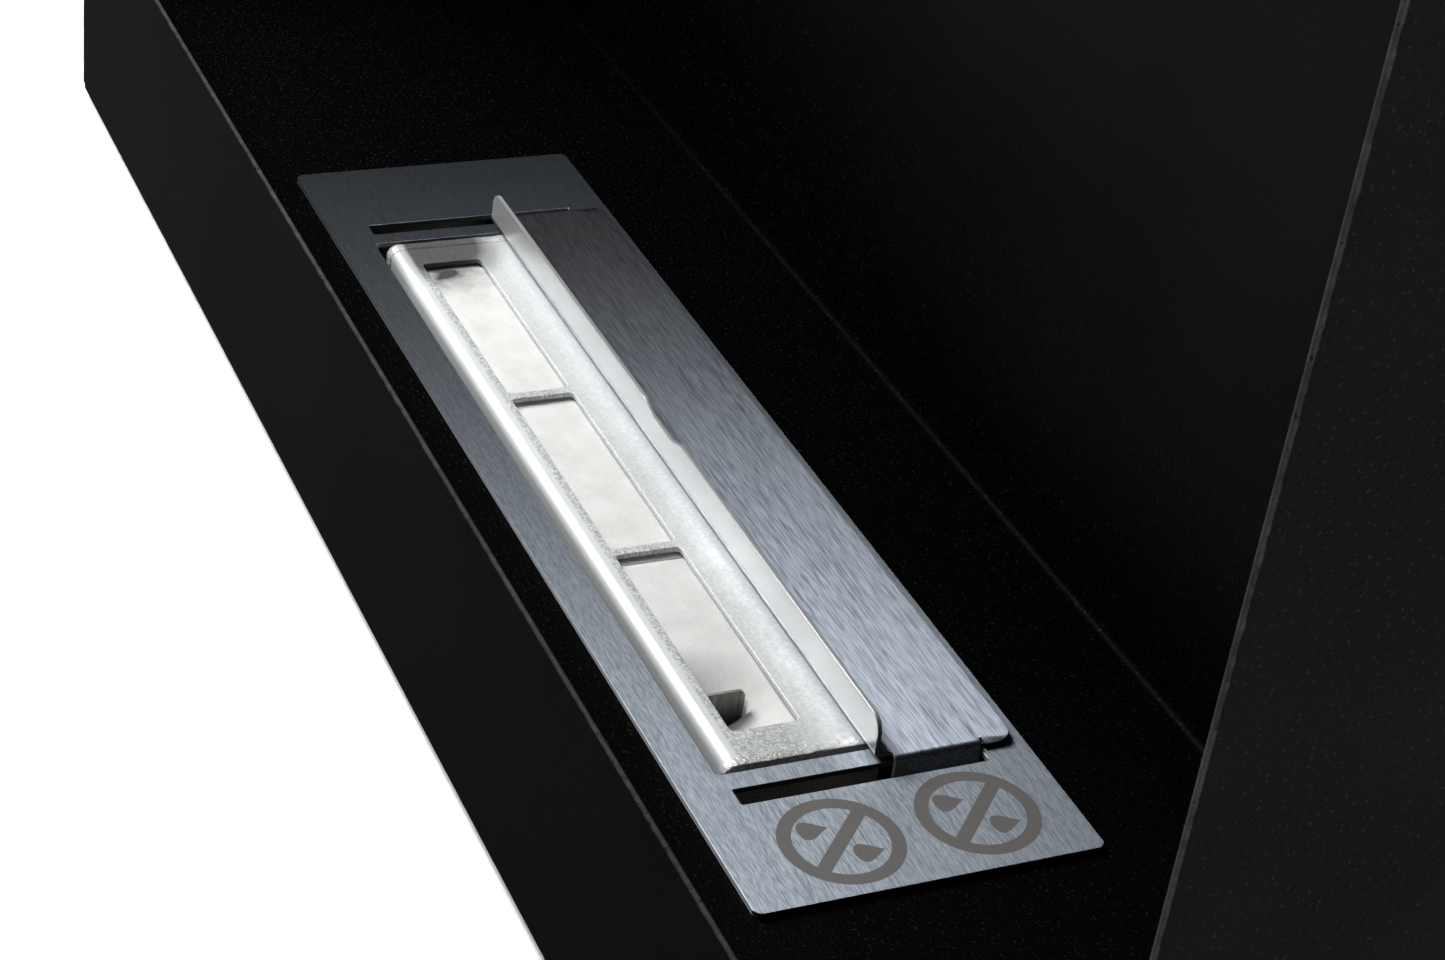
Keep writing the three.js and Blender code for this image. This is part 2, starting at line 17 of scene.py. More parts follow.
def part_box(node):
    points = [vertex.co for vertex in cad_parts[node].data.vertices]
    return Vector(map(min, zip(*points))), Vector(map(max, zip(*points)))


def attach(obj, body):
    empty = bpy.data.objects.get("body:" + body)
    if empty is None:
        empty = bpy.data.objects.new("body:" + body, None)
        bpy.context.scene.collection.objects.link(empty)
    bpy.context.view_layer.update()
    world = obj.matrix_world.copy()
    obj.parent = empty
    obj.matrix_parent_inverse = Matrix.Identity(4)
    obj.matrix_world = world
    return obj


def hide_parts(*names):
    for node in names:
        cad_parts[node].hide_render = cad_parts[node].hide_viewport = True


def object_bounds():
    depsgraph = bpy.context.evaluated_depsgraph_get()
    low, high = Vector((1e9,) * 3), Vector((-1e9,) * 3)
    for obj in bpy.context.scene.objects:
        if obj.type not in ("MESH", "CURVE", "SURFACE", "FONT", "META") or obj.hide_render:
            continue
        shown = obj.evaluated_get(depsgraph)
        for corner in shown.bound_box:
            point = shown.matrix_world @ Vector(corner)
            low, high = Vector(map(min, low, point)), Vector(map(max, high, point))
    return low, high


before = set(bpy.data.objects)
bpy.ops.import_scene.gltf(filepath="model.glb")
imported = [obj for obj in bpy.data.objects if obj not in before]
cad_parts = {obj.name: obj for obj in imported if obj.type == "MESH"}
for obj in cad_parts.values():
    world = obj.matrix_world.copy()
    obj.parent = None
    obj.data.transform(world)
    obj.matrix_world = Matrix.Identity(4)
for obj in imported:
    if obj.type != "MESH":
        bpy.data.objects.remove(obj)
cad_box = [list(corner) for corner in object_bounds()]
MM = 0.001
print("case, in metres:", [round(v, 4) for v in cad_box[1]])

# %% [markdown]
# Shapes are written in millimetres, as a workshop drawing is, and only turned into metres when a
# mesh is filled. `span` reads a CAD node's lowest and highest corner, so that every piece takes its
# place from the frame.

# %% Places read from the frame


def span(node):
    """A CAD node's lowest and highest corner, in millimetres."""
    low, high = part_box(node)
    return np.array(low) / MM, np.array(high) / MM


SIDES = (("left", -1), ("right", 1))
case_high = np.array(cad_box[1]) / MM
plate_low, plate_high = span("cover_plate")
tank_low, tank_high = span("tank_shell")
shutter_low, shutter_high = span("shutter_plate")
burner_y = (plate_low[1] + plate_high[1]) / 2
plate_top = plate_high[2]
print("cover plate's upper face is at z =", round(plate_top, 2))

# %% [markdown]
# ## The blank: an outline, its holes and a rolled edge
# A laser-cut blank has straight walls, but its edges are tumbled or thickly coated, so they are
# slightly round, and that round edge is what catches the light on the real case. Each outline is
# carried round a small quarter-circle at its lower and upper edge, and the two flat faces are
# filled with triangles that leave the holes open. Solidify and Bevel could do nearly the same, but
# a bevel on a folded, pierced sheet makes pinched corners.

# %% Outlines


def fillet(corners, radii, steps=6):
    """A closed outline through the corners, each one replaced by an arc of its radius.

    For a corner between unit directions i (back) and o (on), with half angle h, the arc's centre is
    corner + (i + o) / |i + o| * r / sin h, and it starts r / tan h from the corner."""
    corners = np.asarray(corners, float)
    radii = np.broadcast_to(radii, len(corners))
    outline = []
    for before, corner, after, radius in zip(
        np.roll(corners, 1, 0), corners, np.roll(corners, -1, 0), radii
    ):
        if radius <= 0:
            outline.append(corner)
            continue
        back = (before - corner) / np.linalg.norm(before - corner)
        on = (after - corner) / np.linalg.norm(after - corner)
        half = math.acos(np.clip(back @ on, -1, 1)) / 2
        centre = corner + (back + on) / np.linalg.norm(back + on) * radius / math.sin(half)
        start = corner + back * radius / math.tan(half) - centre
        end = corner + on * radius / math.tan(half) - centre
        sweep = math.atan2(start[0] * end[1] - start[1] * end[0], start @ end)
        angle = np.linspace(0, sweep, steps + 1)[:, None]
        outline.extend(
            centre + start * np.cos(angle) + np.array([-start[1], start[0]]) * np.sin(angle)
        )
    return np.array(outline)


def rectangle(a0, b0, a1, b1, radius):
    """A rectangle with round corners, anticlockwise."""
    return fillet([(a0, b0), (a1, b0), (a1, b1), (a0, b1)], radius)


def disc(a, b, radius, steps=40):
    """A circle, anticlockwise."""
    angle = np.linspace(0, 2 * np.pi, steps, endpoint=False)
    return np.stack([a + radius * np.cos(angle), b + radius * np.sin(angle)], 1)


def hole(outline):
    """An outline turned clockwise, so that its right-hand side is the hole."""
    return outline[::-1]


# %% [markdown]
# `fillet` walks the corners one by one, since there are only a few of them. Everything that follows
# works on whole arrays of points.

# %% Filling a mesh


def fill_mesh(name, *parts):
    """One smooth mesh from parts, each a dict of points (mm), quads, tris, uv (mm) and rim.

    A part is turned inside out if its volume, the sum of a . (b x c) / 6 over its triangles
    (a, b, c), is negative. rim is 1 on a cut edge and 0 on a flat face."""
    rows = {"points": [], "quads": [], "tris": [], "uv": [], "rim": []}
    start = 0
    for part in parts:
        points = part["points"]
        quads = np.asarray(part["quads"], np.int32).reshape(-1, 4)
        tris = np.asarray(part["tris"], np.int32).reshape(-1, 3)
        corners = np.vstack([tris, quads[:, [0, 1, 2]], quads[:, [0, 2, 3]]])
        a, b, c = (points[corners[:, k]] for k in range(3))
        if np.einsum("ij,ij->", a, np.cross(b, c)) < 0:
            quads, tris = quads[:, ::-1], tris[:, ::-1]
        rows["points"].append(points)
        rows["quads"].append(quads + start)
        rows["tris"].append(tris + start)
        rows["uv"].append(part.get("uv", points[:, :2]))
        rows["rim"].append(part.get("rim", np.zeros(len(points))))
        start += len(points)
    points, quads, tris, uv, rim = (np.concatenate(rows[key]) for key in rows)
    mesh = bpy.data.meshes.new(name)
    mesh.vertices.add(len(points))
    mesh.vertices.foreach_set("co", (points * MM).astype(np.float32).ravel())
    loops = np.concatenate([quads.ravel(), tris.ravel()]).astype(np.int32)
    mesh.loops.add(len(loops))
    mesh.loops.foreach_set("vertex_index", loops)
    starts = np.concatenate([np.arange(len(quads)) * 4, len(quads) * 4 + np.arange(len(tris)) * 3])
    mesh.polygons.add(len(starts))
    mesh.polygons.foreach_set("loop_start", starts.astype(np.int32))
    mesh.polygons.foreach_set("use_smooth", np.ones(len(starts), bool))
    layer = mesh.uv_layers.new(name="grain")
    layer.data.foreach_set("uv", (uv[loops] * MM).astype(np.float32).ravel())
    mesh.attributes.new("rim", "FLOAT", "POINT").data.foreach_set("value", rim.astype(np.float32))
    mesh.update(calc_edges=True)
    return mesh


FACE_WEIGHT = 100  # how strongly a large face keeps its own direction


def add_piece(name, body, finish, parts, replaces=()):
    """Puts parts in the scene as one piece that rides on a body and stands for CAD nodes."""
    piece = bpy.data.objects.new(name, fill_mesh(name, *parts))
    bpy.context.scene.collection.objects.link(piece)
    piece.data.materials.append(finish)
    piece.modifiers.new("flat faces stay flat", "WEIGHTED_NORMAL").weight = FACE_WEIGHT
    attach(piece, body)
    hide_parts(*(replaces or (name,)))
    print(name, "has", len(piece.data.vertices), "points")
    return piece


# %% [markdown]
# A weighted-normal modifier lets the large flat faces keep their own direction, and the small
# rolled edges turn smoothly from one face to the next. Without it, smooth shading would tint the
# flat panels near every edge.

# %% The blank tool
NEAR = 1e-6  # millimetres: closer than this counts as touching


def mitres(loop):
    """For each point of a loop, the step that moves both of its sides outwards by one unit.

    With unit normals m and n of the two sides, it is (m + n) / (1 + m . n)."""
    side = np.roll(loop, -1, 0) - loop
    side /= np.linalg.norm(side, axis=1, keepdims=True)
    normal = np.stack([side[:, 1], -side[:, 0]], 1)
    before = np.roll(normal, 1, 0)
    return (normal + before) / (1 + (normal * before).sum(1))[:, None]


def cross_points(loop, lines):
    """The loop with a point added wherever one of its sides crosses a line.

    A line (axis, value, low, high) is where coordinate axis has the value, and the other
    coordinate is from low to high."""
    for axis, value, low, high in lines:
        after = np.roll(loop, -1, 0)
        d0, d1 = loop[:, axis] - value, after[:, axis] - value
        share = d0 / np.where(d0 == d1, 1, d0 - d1)
        at = loop[:, 1 - axis] + share * (after[:, 1 - axis] - loop[:, 1 - axis])
        where = np.flatnonzero((d0 * d1 < 0) & (at >= low) & (at <= high))
        new = loop[where] + share[where, None] * (after[where] - loop[where])
        new[:, axis] = value
        loop = np.insert(loop, where + 1, new, axis=0)
    return loop


def inside(points, loops):
    """Which points lie inside an odd number of loops, from the sides crossed on the way right."""
    crossed = np.zeros(len(points), int)
    for loop in loops:
        p, q = loop[None], np.roll(loop, -1, 0)[None]
        x, y = points[:, None, 0], points[:, None, 1]
        spans = (p[..., 1] > y) != (q[..., 1] > y)
        rise = np.where(spans, q[..., 1] - p[..., 1], 1)
        at = p[..., 0] + (y - p[..., 1]) * (q[..., 0] - p[..., 0]) / rise
        crossed += (spans & (at > x)).sum(1)
    return crossed % 2 == 1


def blank(loops, thick, roll, place, lines=(), steps=3):
    """A sheet with a rolled edge, as a part for fill_mesh.

    loops are the outline (anticlockwise) and its holes (clockwise) in the sheet's own plane (a, b),
    and t runs through its thickness. Ring k of an edge is the loop moved in by r (1 - sin x) at
    t = r (1 - cos x), with x from 0 to 90 degrees, and the same again, mirrored, at the upper edge.
    place turns arrays a, b and t into points in space. lines are where the sheet will bend."""
    x = np.linspace(0, np.pi / 2, steps + 1)
    inset, low = roll * (1 - np.sin(x)), roll * (1 - np.cos(x))
    inset, depth = np.concatenate([inset, inset[::-1]]), np.concatenate([low, (thick - low)[::-1]])
    loops = [cross_points(np.asarray(loop, float), lines) for loop in loops]
    points, quads, lower, upper, border, links, rim = [], [], [], [], [], [], []
    start = edge = 0
    for loop in loops:
        count = len(loop)
        flat = loop[None] - inset[:, None, None] * mitres(loop)[None]
        t = np.broadcast_to(depth[:, None, None], (len(depth), count, 1))
        points.append(np.concatenate([flat, t], 2).reshape(-1, 3))
        rim.append(np.repeat(np.sin(np.concatenate([x, x[::-1]])), count))
        index = start + np.arange(len(depth) * count).reshape(-1, count)
        after = np.roll(index, -1, 1)
        quads.append(np.stack([index[:-1], after[:-1], after[1:], index[1:]], -1).reshape(-1, 4))
        own = edge + np.arange(count)
        links.append(np.stack([own, np.roll(own, -1)], 1))
        lower.append(index[0])
        upper.append(index[-1])
        border.append(flat[0])
        start += index.size
        edge += count
    whole = np.concatenate(loops)
    for axis, value, first, last in lines:
        at = whole[:, 1 - axis]
        found = np.flatnonzero(
            (np.abs(whole[:, axis] - value) < NEAR) & (at >= first - NEAR) & (at <= last + NEAR)
        )
        found = found[np.argsort(at[found])]
        links.append(found[: len(found) // 2 * 2].reshape(-1, 2))
    lower, upper, links = (np.concatenate(rows) for rows in (lower, upper, links))
    made = delaunay_2d_cdt(
        [Vector(p) for p in np.concatenate(border)], links.tolist(), [], 0, NEAR, True
    )
    flat, faces, sources = np.array([list(p) for p in made[0]]), np.array(made[2]), made[3]
    faces = faces[inside(flat[faces].mean(1), border)]
    extra = np.array([i for i, source in enumerate(sources) if not source], int)
    first = np.array([source[0] if source else 0 for source in sources])
    lower_of, upper_of = lower[first], upper[first]
    lower_of[extra] = start + np.arange(len(extra))
    upper_of[extra] = start + len(extra) + np.arange(len(extra))
    for t in (0, thick):
        points.append(np.column_stack([flat[extra].reshape(-1, 2), np.full(len(extra), t)]))
    points = np.concatenate(points)
    a, b, t = points.T
    return {
        "points": place(a, b, t),
        "quads": np.concatenate(quads),
        "tris": np.concatenate([lower_of[faces][:, ::-1], upper_of[faces]]),
        "uv": points[:, :2],
        "rim": np.concatenate(rim + [np.zeros(2 * len(extra))]),
    }


# %% [markdown]
# ## The fold
# A press brake bends the blank along straight lines. `fold` describes the finished section as a
# path, and returns the function that carries a point of the blank, by its distance b along the
# path and its depth t in the sheet, to its place in the section. Inside a bend the path is an arc,
# and the bend lines are returned too, so that the blank has edges where it has to turn.

# %% The fold tool
BEND_STEPS = 6  # flat strips that make up a bend


def fold(path, thick, bend):
    """(function of b and t, length of the blank, the bend lines, the b of each straight's start).

    The path is the sheet's left face. In a straight, a point is start + along * s + right * t. In a
    bend with centre c, radius r at the left face and turning angle w, it is c + u(w) (r + t) for a
    left turn and c + u(w) (r - t) for a right turn, where u(w) is the turned start direction."""
    path = np.asarray(path, float)
    along = np.diff(path, axis=0)
    lengths = np.linalg.norm(along, axis=1)
    along /= lengths[:, None]
    turns = [math.atan2(p[0] * q[1] - p[1] * q[0], p @ q) for p, q in zip(along, along[1:])]
    radii = [bend if w > 0 else bend + thick for w in turns]
    trims = [0] + [r * math.tan(abs(w) / 2) for r, w in zip(radii, turns)] + [0]
    parts, lines, b = [], [], 0.0
    for i, direction in enumerate(along):
        begin = path[i] + direction * trims[i]
        straight = lengths[i] - trims[i] - trims[i + 1]
        parts.append((b, b + straight, begin, direction, 0.0, 0.0))
        b += straight
        if i < len(turns):
            arc = radii[i] * abs(turns[i])
            parts.append((b, b + arc, begin + direction * straight, direction, turns[i], radii[i]))
            lines.extend(np.linspace(b, b + arc, BEND_STEPS + 1))
            b += arc

    def section(at, t):
        p, q = np.zeros_like(at), np.zeros_like(at)
        for k, (low, high, begin, (dx, dy), turn, radius) in enumerate(parts):
            first, last = k == 0, k == len(parts) - 1
            own = (at >= (-np.inf if first else low)) & (at <= (np.inf if last else high))
            s, depth = at[own] - low, t[own]
            if turn == 0:
                p[own], q[own] = begin[0] + dx * s + dy * depth, begin[1] + dy * s - dx * depth
                continue
            sign = math.copysign(1, turn)
            centre = begin + sign * radius * np.array([-dy, dx])
            reach, angle = radius + sign * depth, s / radius
            out, on = sign * np.array([dy, -dx]), np.array([dx, dy])
            p[own] = centre[0] + reach * (out[0] * np.cos(angle) + on[0] * np.sin(angle))
            q[own] = centre[1] + reach * (out[1] * np.cos(angle) + on[1] * np.sin(angle))
        return p, q

    starts = [(part[0], part[2]) for part in parts if part[4] == 0]
    return section, b, lines, starts


def turned_edge(s, t, start, thick, bend):
    """(along, down) of a point of a sheet whose edge past s = start turns down by 90 degrees.

    With R = bend + thick and w = (s - start) / R, up to 90 degrees, it is start + (R - t) sin w
    along and R - (R - t) cos w down, and then straight down."""
    reach = bend + thick
    w = np.clip((s - start) / reach, 0, np.pi / 2)
    along = np.minimum(s, start) + (reach - t) * np.sin(w)
    down = reach - (reach - t) * np.cos(w) + np.maximum(s - start - reach * np.pi / 2, 0)
    return along, down


def folded(loops, path, thick, bend, roll, place):
    """A blank folded along its path, where place puts (a, p, q) in space."""
    section, _, lines, _ = fold(path, thick, bend)
    across = [(1, b, -np.inf, np.inf) for b in lines]
    return blank(loops, thick, roll, lambda a, b, t: place(a, *section(b, t)), across)


def blank_length(path, thick, bend):
    """The length of the blank that folds into the path."""
    return fold(path, thick, bend)[1]


def where_on_blank(path, thick, bend, straight, distance):
    """The b of a point on a straight of the path, given its distance from that straight's start."""
    return fold(path, thick, bend)[3][straight][0] + distance


def along_x(a, p, q):
    """A section in (y, z), carried along x."""
    return np.column_stack([a, p, q])


def along_y(side):
    """A section in (x, z), carried along y, on the right or, mirrored, on the left."""
    return lambda a, p, q: np.column_stack([side * p, a, q])


def lying(bottom):
    """A flat sheet in (x, y), with its lower face at z = bottom."""
    return lambda a, b, t: np.column_stack([a, b, bottom + t])


print("the blank and fold tools are ready")

# %% [markdown]
# ## Turned pieces
# Screws, rivets, feet and studs are turned on a lathe, so each one is a profile carried round an
# axis. The profile is a list of (radius, height) pairs, and it starts and ends on the axis.

# %% The lathe


def turned(profile, centre, axis, steps=40):
    """A profile (r, h) carried round an axis: centre + h * axis + r (cos w * u + sin w * v)."""
    profile = np.asarray(profile, float)
    axis = np.asarray(axis, float)
    u = np.cross(axis, [0.0, 0.6, 0.8] if abs(axis[0]) > 0.5 else [1.0, 0.0, 0.0])
    u /= np.linalg.norm(u)
    v = np.cross(axis, u)
    w = np.linspace(0, 2 * np.pi, steps, endpoint=False)
    ring = np.cos(w)[:, None] * u + np.sin(w)[:, None] * v
    body = profile[1:-1]
    points = centre + body[:, 1, None, None] * axis + body[:, 0, None, None] * ring
    ends = centre + profile[[0, -1], 1, None] * axis
    index = np.arange(len(body) * steps).reshape(-1, steps)
    after = np.roll(index, -1, 1)
    quads = np.stack([index[:-1], after[:-1], after[1:], index[1:]], -1).reshape(-1, 4)
    last = len(body) * steps
    low = np.stack([after[0], index[0], np.full(steps, last)], 1)
    high = np.stack([index[-1], after[-1], np.full(steps, last + 1)], 1)
    points = np.vstack([points.reshape(-1, 3), ends])
    return {"points": points, "quads": quads, "tris": np.vstack([low, high])}


def softened(profile, radius):
    """A profile whose corners are rounded a little, as a tumbled screw's are."""
    corners = np.asarray(profile, float)
    legs = np.linalg.norm(np.diff(corners, axis=0), axis=1)
    radii = np.zeros(len(corners))
    radii[1:-1] = np.minimum(radius, 0.4 * np.minimum(legs[:-1], legs[1:]))
    return fillet(corners, radii, 3)


# %% [markdown]
# ## The camera
# The eye is above and to the right of the case, and looks down along the burner with a long lens,
# so that the parallel edges hardly draw together. It is tilted a little, as a hand-held camera is.

# %% Camera
EYE = Vector((0.7832, -0.4002, 0.6076))
AZIMUTH, ELEVATION, ROLL = (math.radians(angle) for angle in (62.44, 32.19, 8.02))
LENS, SENSOR = 72.18, 36.0
forward = Vector(
    (
        -math.sin(AZIMUTH) * math.cos(ELEVATION),
        math.cos(AZIMUTH) * math.cos(ELEVATION),
        -math.sin(ELEVATION),
    )
)
level = forward.cross(Vector((0, 0, 1))).normalized()
upright = level.cross(forward)
right_way = level * math.cos(ROLL) + upright * math.sin(ROLL)
up_way = upright * math.cos(ROLL) - level * math.sin(ROLL)
camera = bpy.data.objects.new("camera", bpy.data.cameras.new("camera"))
camera.data.lens, camera.data.sensor_width = LENS, SENSOR
camera.data.clip_start = 0.01
camera.matrix_world = Matrix.Translation(EYE) @ Matrix(
    (right_way, up_way, -forward)
).transposed().to_4x4()
bpy.context.scene.collection.objects.link(camera)
bpy.context.scene.camera = camera
print("the camera looks along", [round(v, 3) for v in forward])

# %% [markdown]
# ## The studio
# The floor is pale and plain. One large soft box stands in front, to the left and above, where its
# mirror image falls on the near half of the burner, so that the grain glows there and goes dark
# towards the far end. A weaker box on the right keeps the outer side panel from going quite black.

# %% Floor and lights


def soft_box(name, at, aim, size, power, colour=(1, 1, 1)):
    """A rectangular lamp at a place, turned to face another."""
    lamp = bpy.data.lights.new(name, "AREA")
    lamp.shape, lamp.size, lamp.size_y = "RECTANGLE", size[0], size[1]
    lamp.energy, lamp.color = power, colour
    box = bpy.data.objects.new(name, lamp)
    box.matrix_world = Matrix.Translation(at) @ (
        Vector(aim) - Vector(at)
    ).to_track_quat("-Z", "Y").to_matrix().to_4x4()
    bpy.context.scene.collection.objects.link(box)
    return box


FLOOR_REACH = 6.0
floor_mesh = bpy.data.meshes.new("studio_floor")
floor_mesh.from_pydata(
    [(x * FLOOR_REACH, y * FLOOR_REACH, 0.0) for x, y in ((-1, -1), (1, -1), (1, 1), (-1, 1))],
    [],
    [(0, 1, 2, 3)],
)
floor = bpy.data.objects.new("studio_floor", floor_mesh)
bpy.context.scene.collection.objects.link(floor)
BURNER = Vector((0.0, burner_y * MM, plate_top * MM))
KEY_WAY, KEY_DISTANCE = Vector((-0.47, -0.34, 0.74)), 1.05
soft_box("key_light", BURNER + KEY_WAY * KEY_DISTANCE, BURNER, (0.36, 0.6), 15.0)
soft_box("side_light", (1.5, 0.35, 0.8), (0.45, 0.0, 0.25), (0.8, 0.8), 33.0)
soft_box("floor_light", (-0.5, -0.9, 1.8), (-0.5, -0.9, 0.0), (1.4, 1.0), 12.0)
world = bpy.data.worlds.new("studio")
world.use_nodes = True
world.node_tree.nodes["Background"].inputs["Color"].default_value = (1, 1, 1, 1)
world.node_tree.nodes["Background"].inputs["Strength"].default_value = 0.1
bpy.context.scene.world = world
bpy.context.scene.view_settings.view_transform = "Standard"
print("one floor and", len(bpy.data.lights), "soft boxes")

# %% [markdown]
# ## Finishes
# A finish is a node tree. `add_node` makes a node, sets its options and fills its sockets in one
# line, so that each finish below reads as a short list. Effects that several finishes share are
# node groups, which put out a value that varies over the surface, and the shader itself stays in
# the material.

# %% Node helpers


def add_node(tree, kind, inputs=None, **options):
    """A node with its options set, and its sockets filled with a value or linked to another."""
    made = tree.nodes.new(kind)
    for name, value in options.items():
        setattr(made, name, value)
    for name, value in (inputs or {}).items():
        if isinstance(value, bpy.types.NodeSocket):
            tree.links.new(value, made.inputs[name])
        else:
            made.inputs[name].default_value = value
    return made


def maths(tree, operation, a, b=0.0, clamp=False):
    """One Math node's result."""
    return add_node(
        tree, "ShaderNodeMath", {0: a, 1: b}, operation=operation, use_clamp=clamp
    ).outputs[0]


def weighted(tree, first, *others):
    """The sum of value * share over terms that are pairs (value, share)."""
    term = maths(tree, "MULTIPLY", *first)
    return maths(tree, "ADD", term, weighted(tree, *others)) if others else term


def blend_colour(tree, share, a, b):
    """The colour a where share is 0, and b where it is 1."""
    mix = add_node(tree, "ShaderNodeMix", {0: share}, data_type="RGBA")
    for socket, value in ((mix.inputs[6], a), (mix.inputs[7], b)):
        if isinstance(value, bpy.types.NodeSocket):
            tree.links.new(value, socket)
        else:
            socket.default_value = (*value, 1)
    return mix.outputs[2]


def remap(tree, value, low, high, to_low=0.0, to_high=1.0):
    """The value, carried from low..high to to_low..to_high, and held within it."""
    names = ("Value", "From Min", "From Max", "To Min", "To Max")
    return add_node(
        tree, "ShaderNodeMapRange", dict(zip(names, (value, low, high, to_low, to_high)))
    ).outputs[0]


def new_group(name, inputs, outputs):
    """An empty node group with inputs (name, kind, default) and outputs (name, kind).

    Returns the group, its inputs, and a function that links results to its outputs."""
    group = bpy.data.node_groups.new(name, "ShaderNodeTree")
    for label, kind, default in inputs:
        socket = group.interface.new_socket(label, in_out="INPUT", socket_type="NodeSocket" + kind)
        if default is not None:
            socket.default_value = default
    for label, kind in outputs:
        group.interface.new_socket(label, in_out="OUTPUT", socket_type="NodeSocket" + kind)
    ends = group.nodes.new("NodeGroupInput"), group.nodes.new("NodeGroupOutput")

    def put(**made):
        for label, socket in made.items():
            group.links.new(socket, ends[1].inputs[label.replace("_", " ")])

    return group, ends[0].outputs, put


def use_group(tree, group, inputs):
    """A group placed in a material: its outputs."""
    return add_node(tree, "ShaderNodeGroup", inputs, node_tree=group).outputs


def new_finish(name, **shader):
    """A material, its tree, its shader node and its object coordinates. shader sets constants."""
    finish = bpy.data.materials.new(name)
    finish.use_nodes = True
    tree = finish.node_tree
    surface = tree.nodes["Principled BSDF"]
    for label, value in shader.items():
        surface.inputs[label.replace("_", " ")].default_value = value
    place = add_node(tree, "ShaderNodeTexCoord").outputs["Object"]
    return finish, tree, surface, place


def feed(tree, surface, **sockets):
    """Links results to the shader's sockets."""
    for label, value in sockets.items():
        tree.links.new(value, surface.inputs[label.replace("_", " ")])


def bump(tree, height, distance, strength=1.0):
    """A Bump node's normal, for a height from 0 to 1 that stands for a distance in metres."""
    inputs = {"Height": height, "Distance": distance, "Strength": strength}
    return add_node(tree, "ShaderNodeBump", inputs).outputs["Normal"]


def rim_of(tree):
    """The mask of cut edges, from the attribute that every blank carries."""
    return add_node(tree, "ShaderNodeAttribute", attribute_name="rim").outputs["Fac"]


# %% [markdown]
# ### Shared effects
# *Brushed grain* is noise on stretched coordinates: hardly any change along the belt's direction and
# a lot across it. Its streaks are long lines with shorter, slightly wider dashes over them, and its
# bands are the same lines made wide. *Fine grain* is the grit of a powder coat or a blasted sheet,
# with a sparse mask of glints, which the black coats paint as lighter grains: painted glints. *Cut
# edge* picks out the rolled rims where a coat is thin or metal is handled. The finishes paint these
# rims lighter, partly for that wear and partly as a painted highlight on the rounded edge.

# %% Group: brushed grain
brushed_grain, given, put = new_group(
    "Brushed grain",
    [
        ("Place", "Vector", None),
        ("Along", "Vector", (200.0, 3000.0, 3000.0)),
        ("Coarse", "Float", 0.25),
    ],
    [("Streaks", "Float"), ("Bands", "Float")],
)


def stretched_noise(tree, place, stretch, share, detail):
    """Noise on coordinates that are multiplied by stretch, and then all by share."""
    wide = add_node(
        tree, "ShaderNodeVectorMath", {0: place, 1: stretch}, operation="MULTIPLY"
    ).outputs[0]
    scaled = add_node(
        tree, "ShaderNodeVectorMath", {0: wide, "Scale": share}, operation="SCALE"
    ).outputs[0]
    return add_node(
        tree, "ShaderNodeTexNoise", {"Vector": scaled, "Scale": 1.0, "Detail": detail}
    ).outputs["Fac"]


DASH = (4.6, 0.75, 0.75)  # from a line's scale to a dash's: shorter, and a little wider
lines = stretched_noise(brushed_grain, given["Place"], given["Along"], 1.0, 2.0)
bands = stretched_noise(brushed_grain, given["Place"], given["Along"], given["Coarse"], 2.0)
dashed = add_node(
    brushed_grain, "ShaderNodeVectorMath", {0: given["Along"], 1: DASH}, operation="MULTIPLY"
).outputs[0]
dashes = stretched_noise(brushed_grain, given["Place"], dashed, 1.0, 1.0)
put(
    Streaks=weighted(
        brushed_grain,
        (remap(brushed_grain, lines, 0.36, 0.64), 0.4),
        (remap(brushed_grain, dashes, 0.36, 0.66), 0.6),
    ),
    Bands=remap(brushed_grain, bands, 0.34, 0.66),
)
print("brushed grain is ready")

# %% Group: fine grain
GLINT_GAIN = 12.0  # how fast a grain that is higher than Rarity becomes a full glint
fine_grain, given, put = new_group(
    "Fine grain",
    [("Place", "Vector", None), ("Grit per metre", "Float", 1500.0), ("Rarity", "Float", 0.72)],
    [("Grit", "Float"), ("Glints", "Float"), ("Clouds", "Float")],
)
grit = add_node(
    fine_grain,
    "ShaderNodeTexNoise",
    {"Vector": given["Place"], "Scale": given["Grit per metre"], "Detail": 2.0},
).outputs["Fac"]
clouds = add_node(
    fine_grain, "ShaderNodeTexNoise", {"Vector": given["Place"], "Scale": 14.0, "Detail": 3.0}
).outputs["Fac"]
put(
    Grit=remap(fine_grain, grit, 0.25, 0.75),
    Glints=maths(
        fine_grain,
        "MULTIPLY",
        maths(fine_grain, "SUBTRACT", grit, given["Rarity"], clamp=True),
        GLINT_GAIN,
        clamp=True,
    ),
    Clouds=remap(fine_grain, clouds, 0.3, 0.7),
)
print("fine grain is ready")

# %% Group: cut edge
cut_edge, given, put = new_group(
    "Cut edge",
    [("Rim", "Float", 0.0), ("Place", "Vector", None), ("Patchiness", "Float", 0.5)],
    [("Worn", "Float")],
)
patches = add_node(
    cut_edge, "ShaderNodeTexNoise", {"Vector": given["Place"], "Scale": 220.0, "Detail": 3.0}
).outputs["Fac"]
kept = maths(cut_edge, "MULTIPLY", remap(cut_edge, patches, 0.35, 0.65), given["Patchiness"])
# the finishes paint this mask lighter: partly real wear of a thin coat or handled metal, partly a
# painted highlight on the rounded edge
put(Worn=maths(cut_edge, "SUBTRACT", given["Rim"], kept, clamp=True))
print("groups:", [group.name for group in bpy.data.node_groups])

# %% [markdown]
# ### Etched sign
# Two round warning marks are etched in the cover plate. Etching dulls the brushed surface and turns
# it a warm grey. Here they are made plain: a ring, a bar and a drop on each side of the bar, worked
# out as distances from a centre, so they stay sharp at any size.

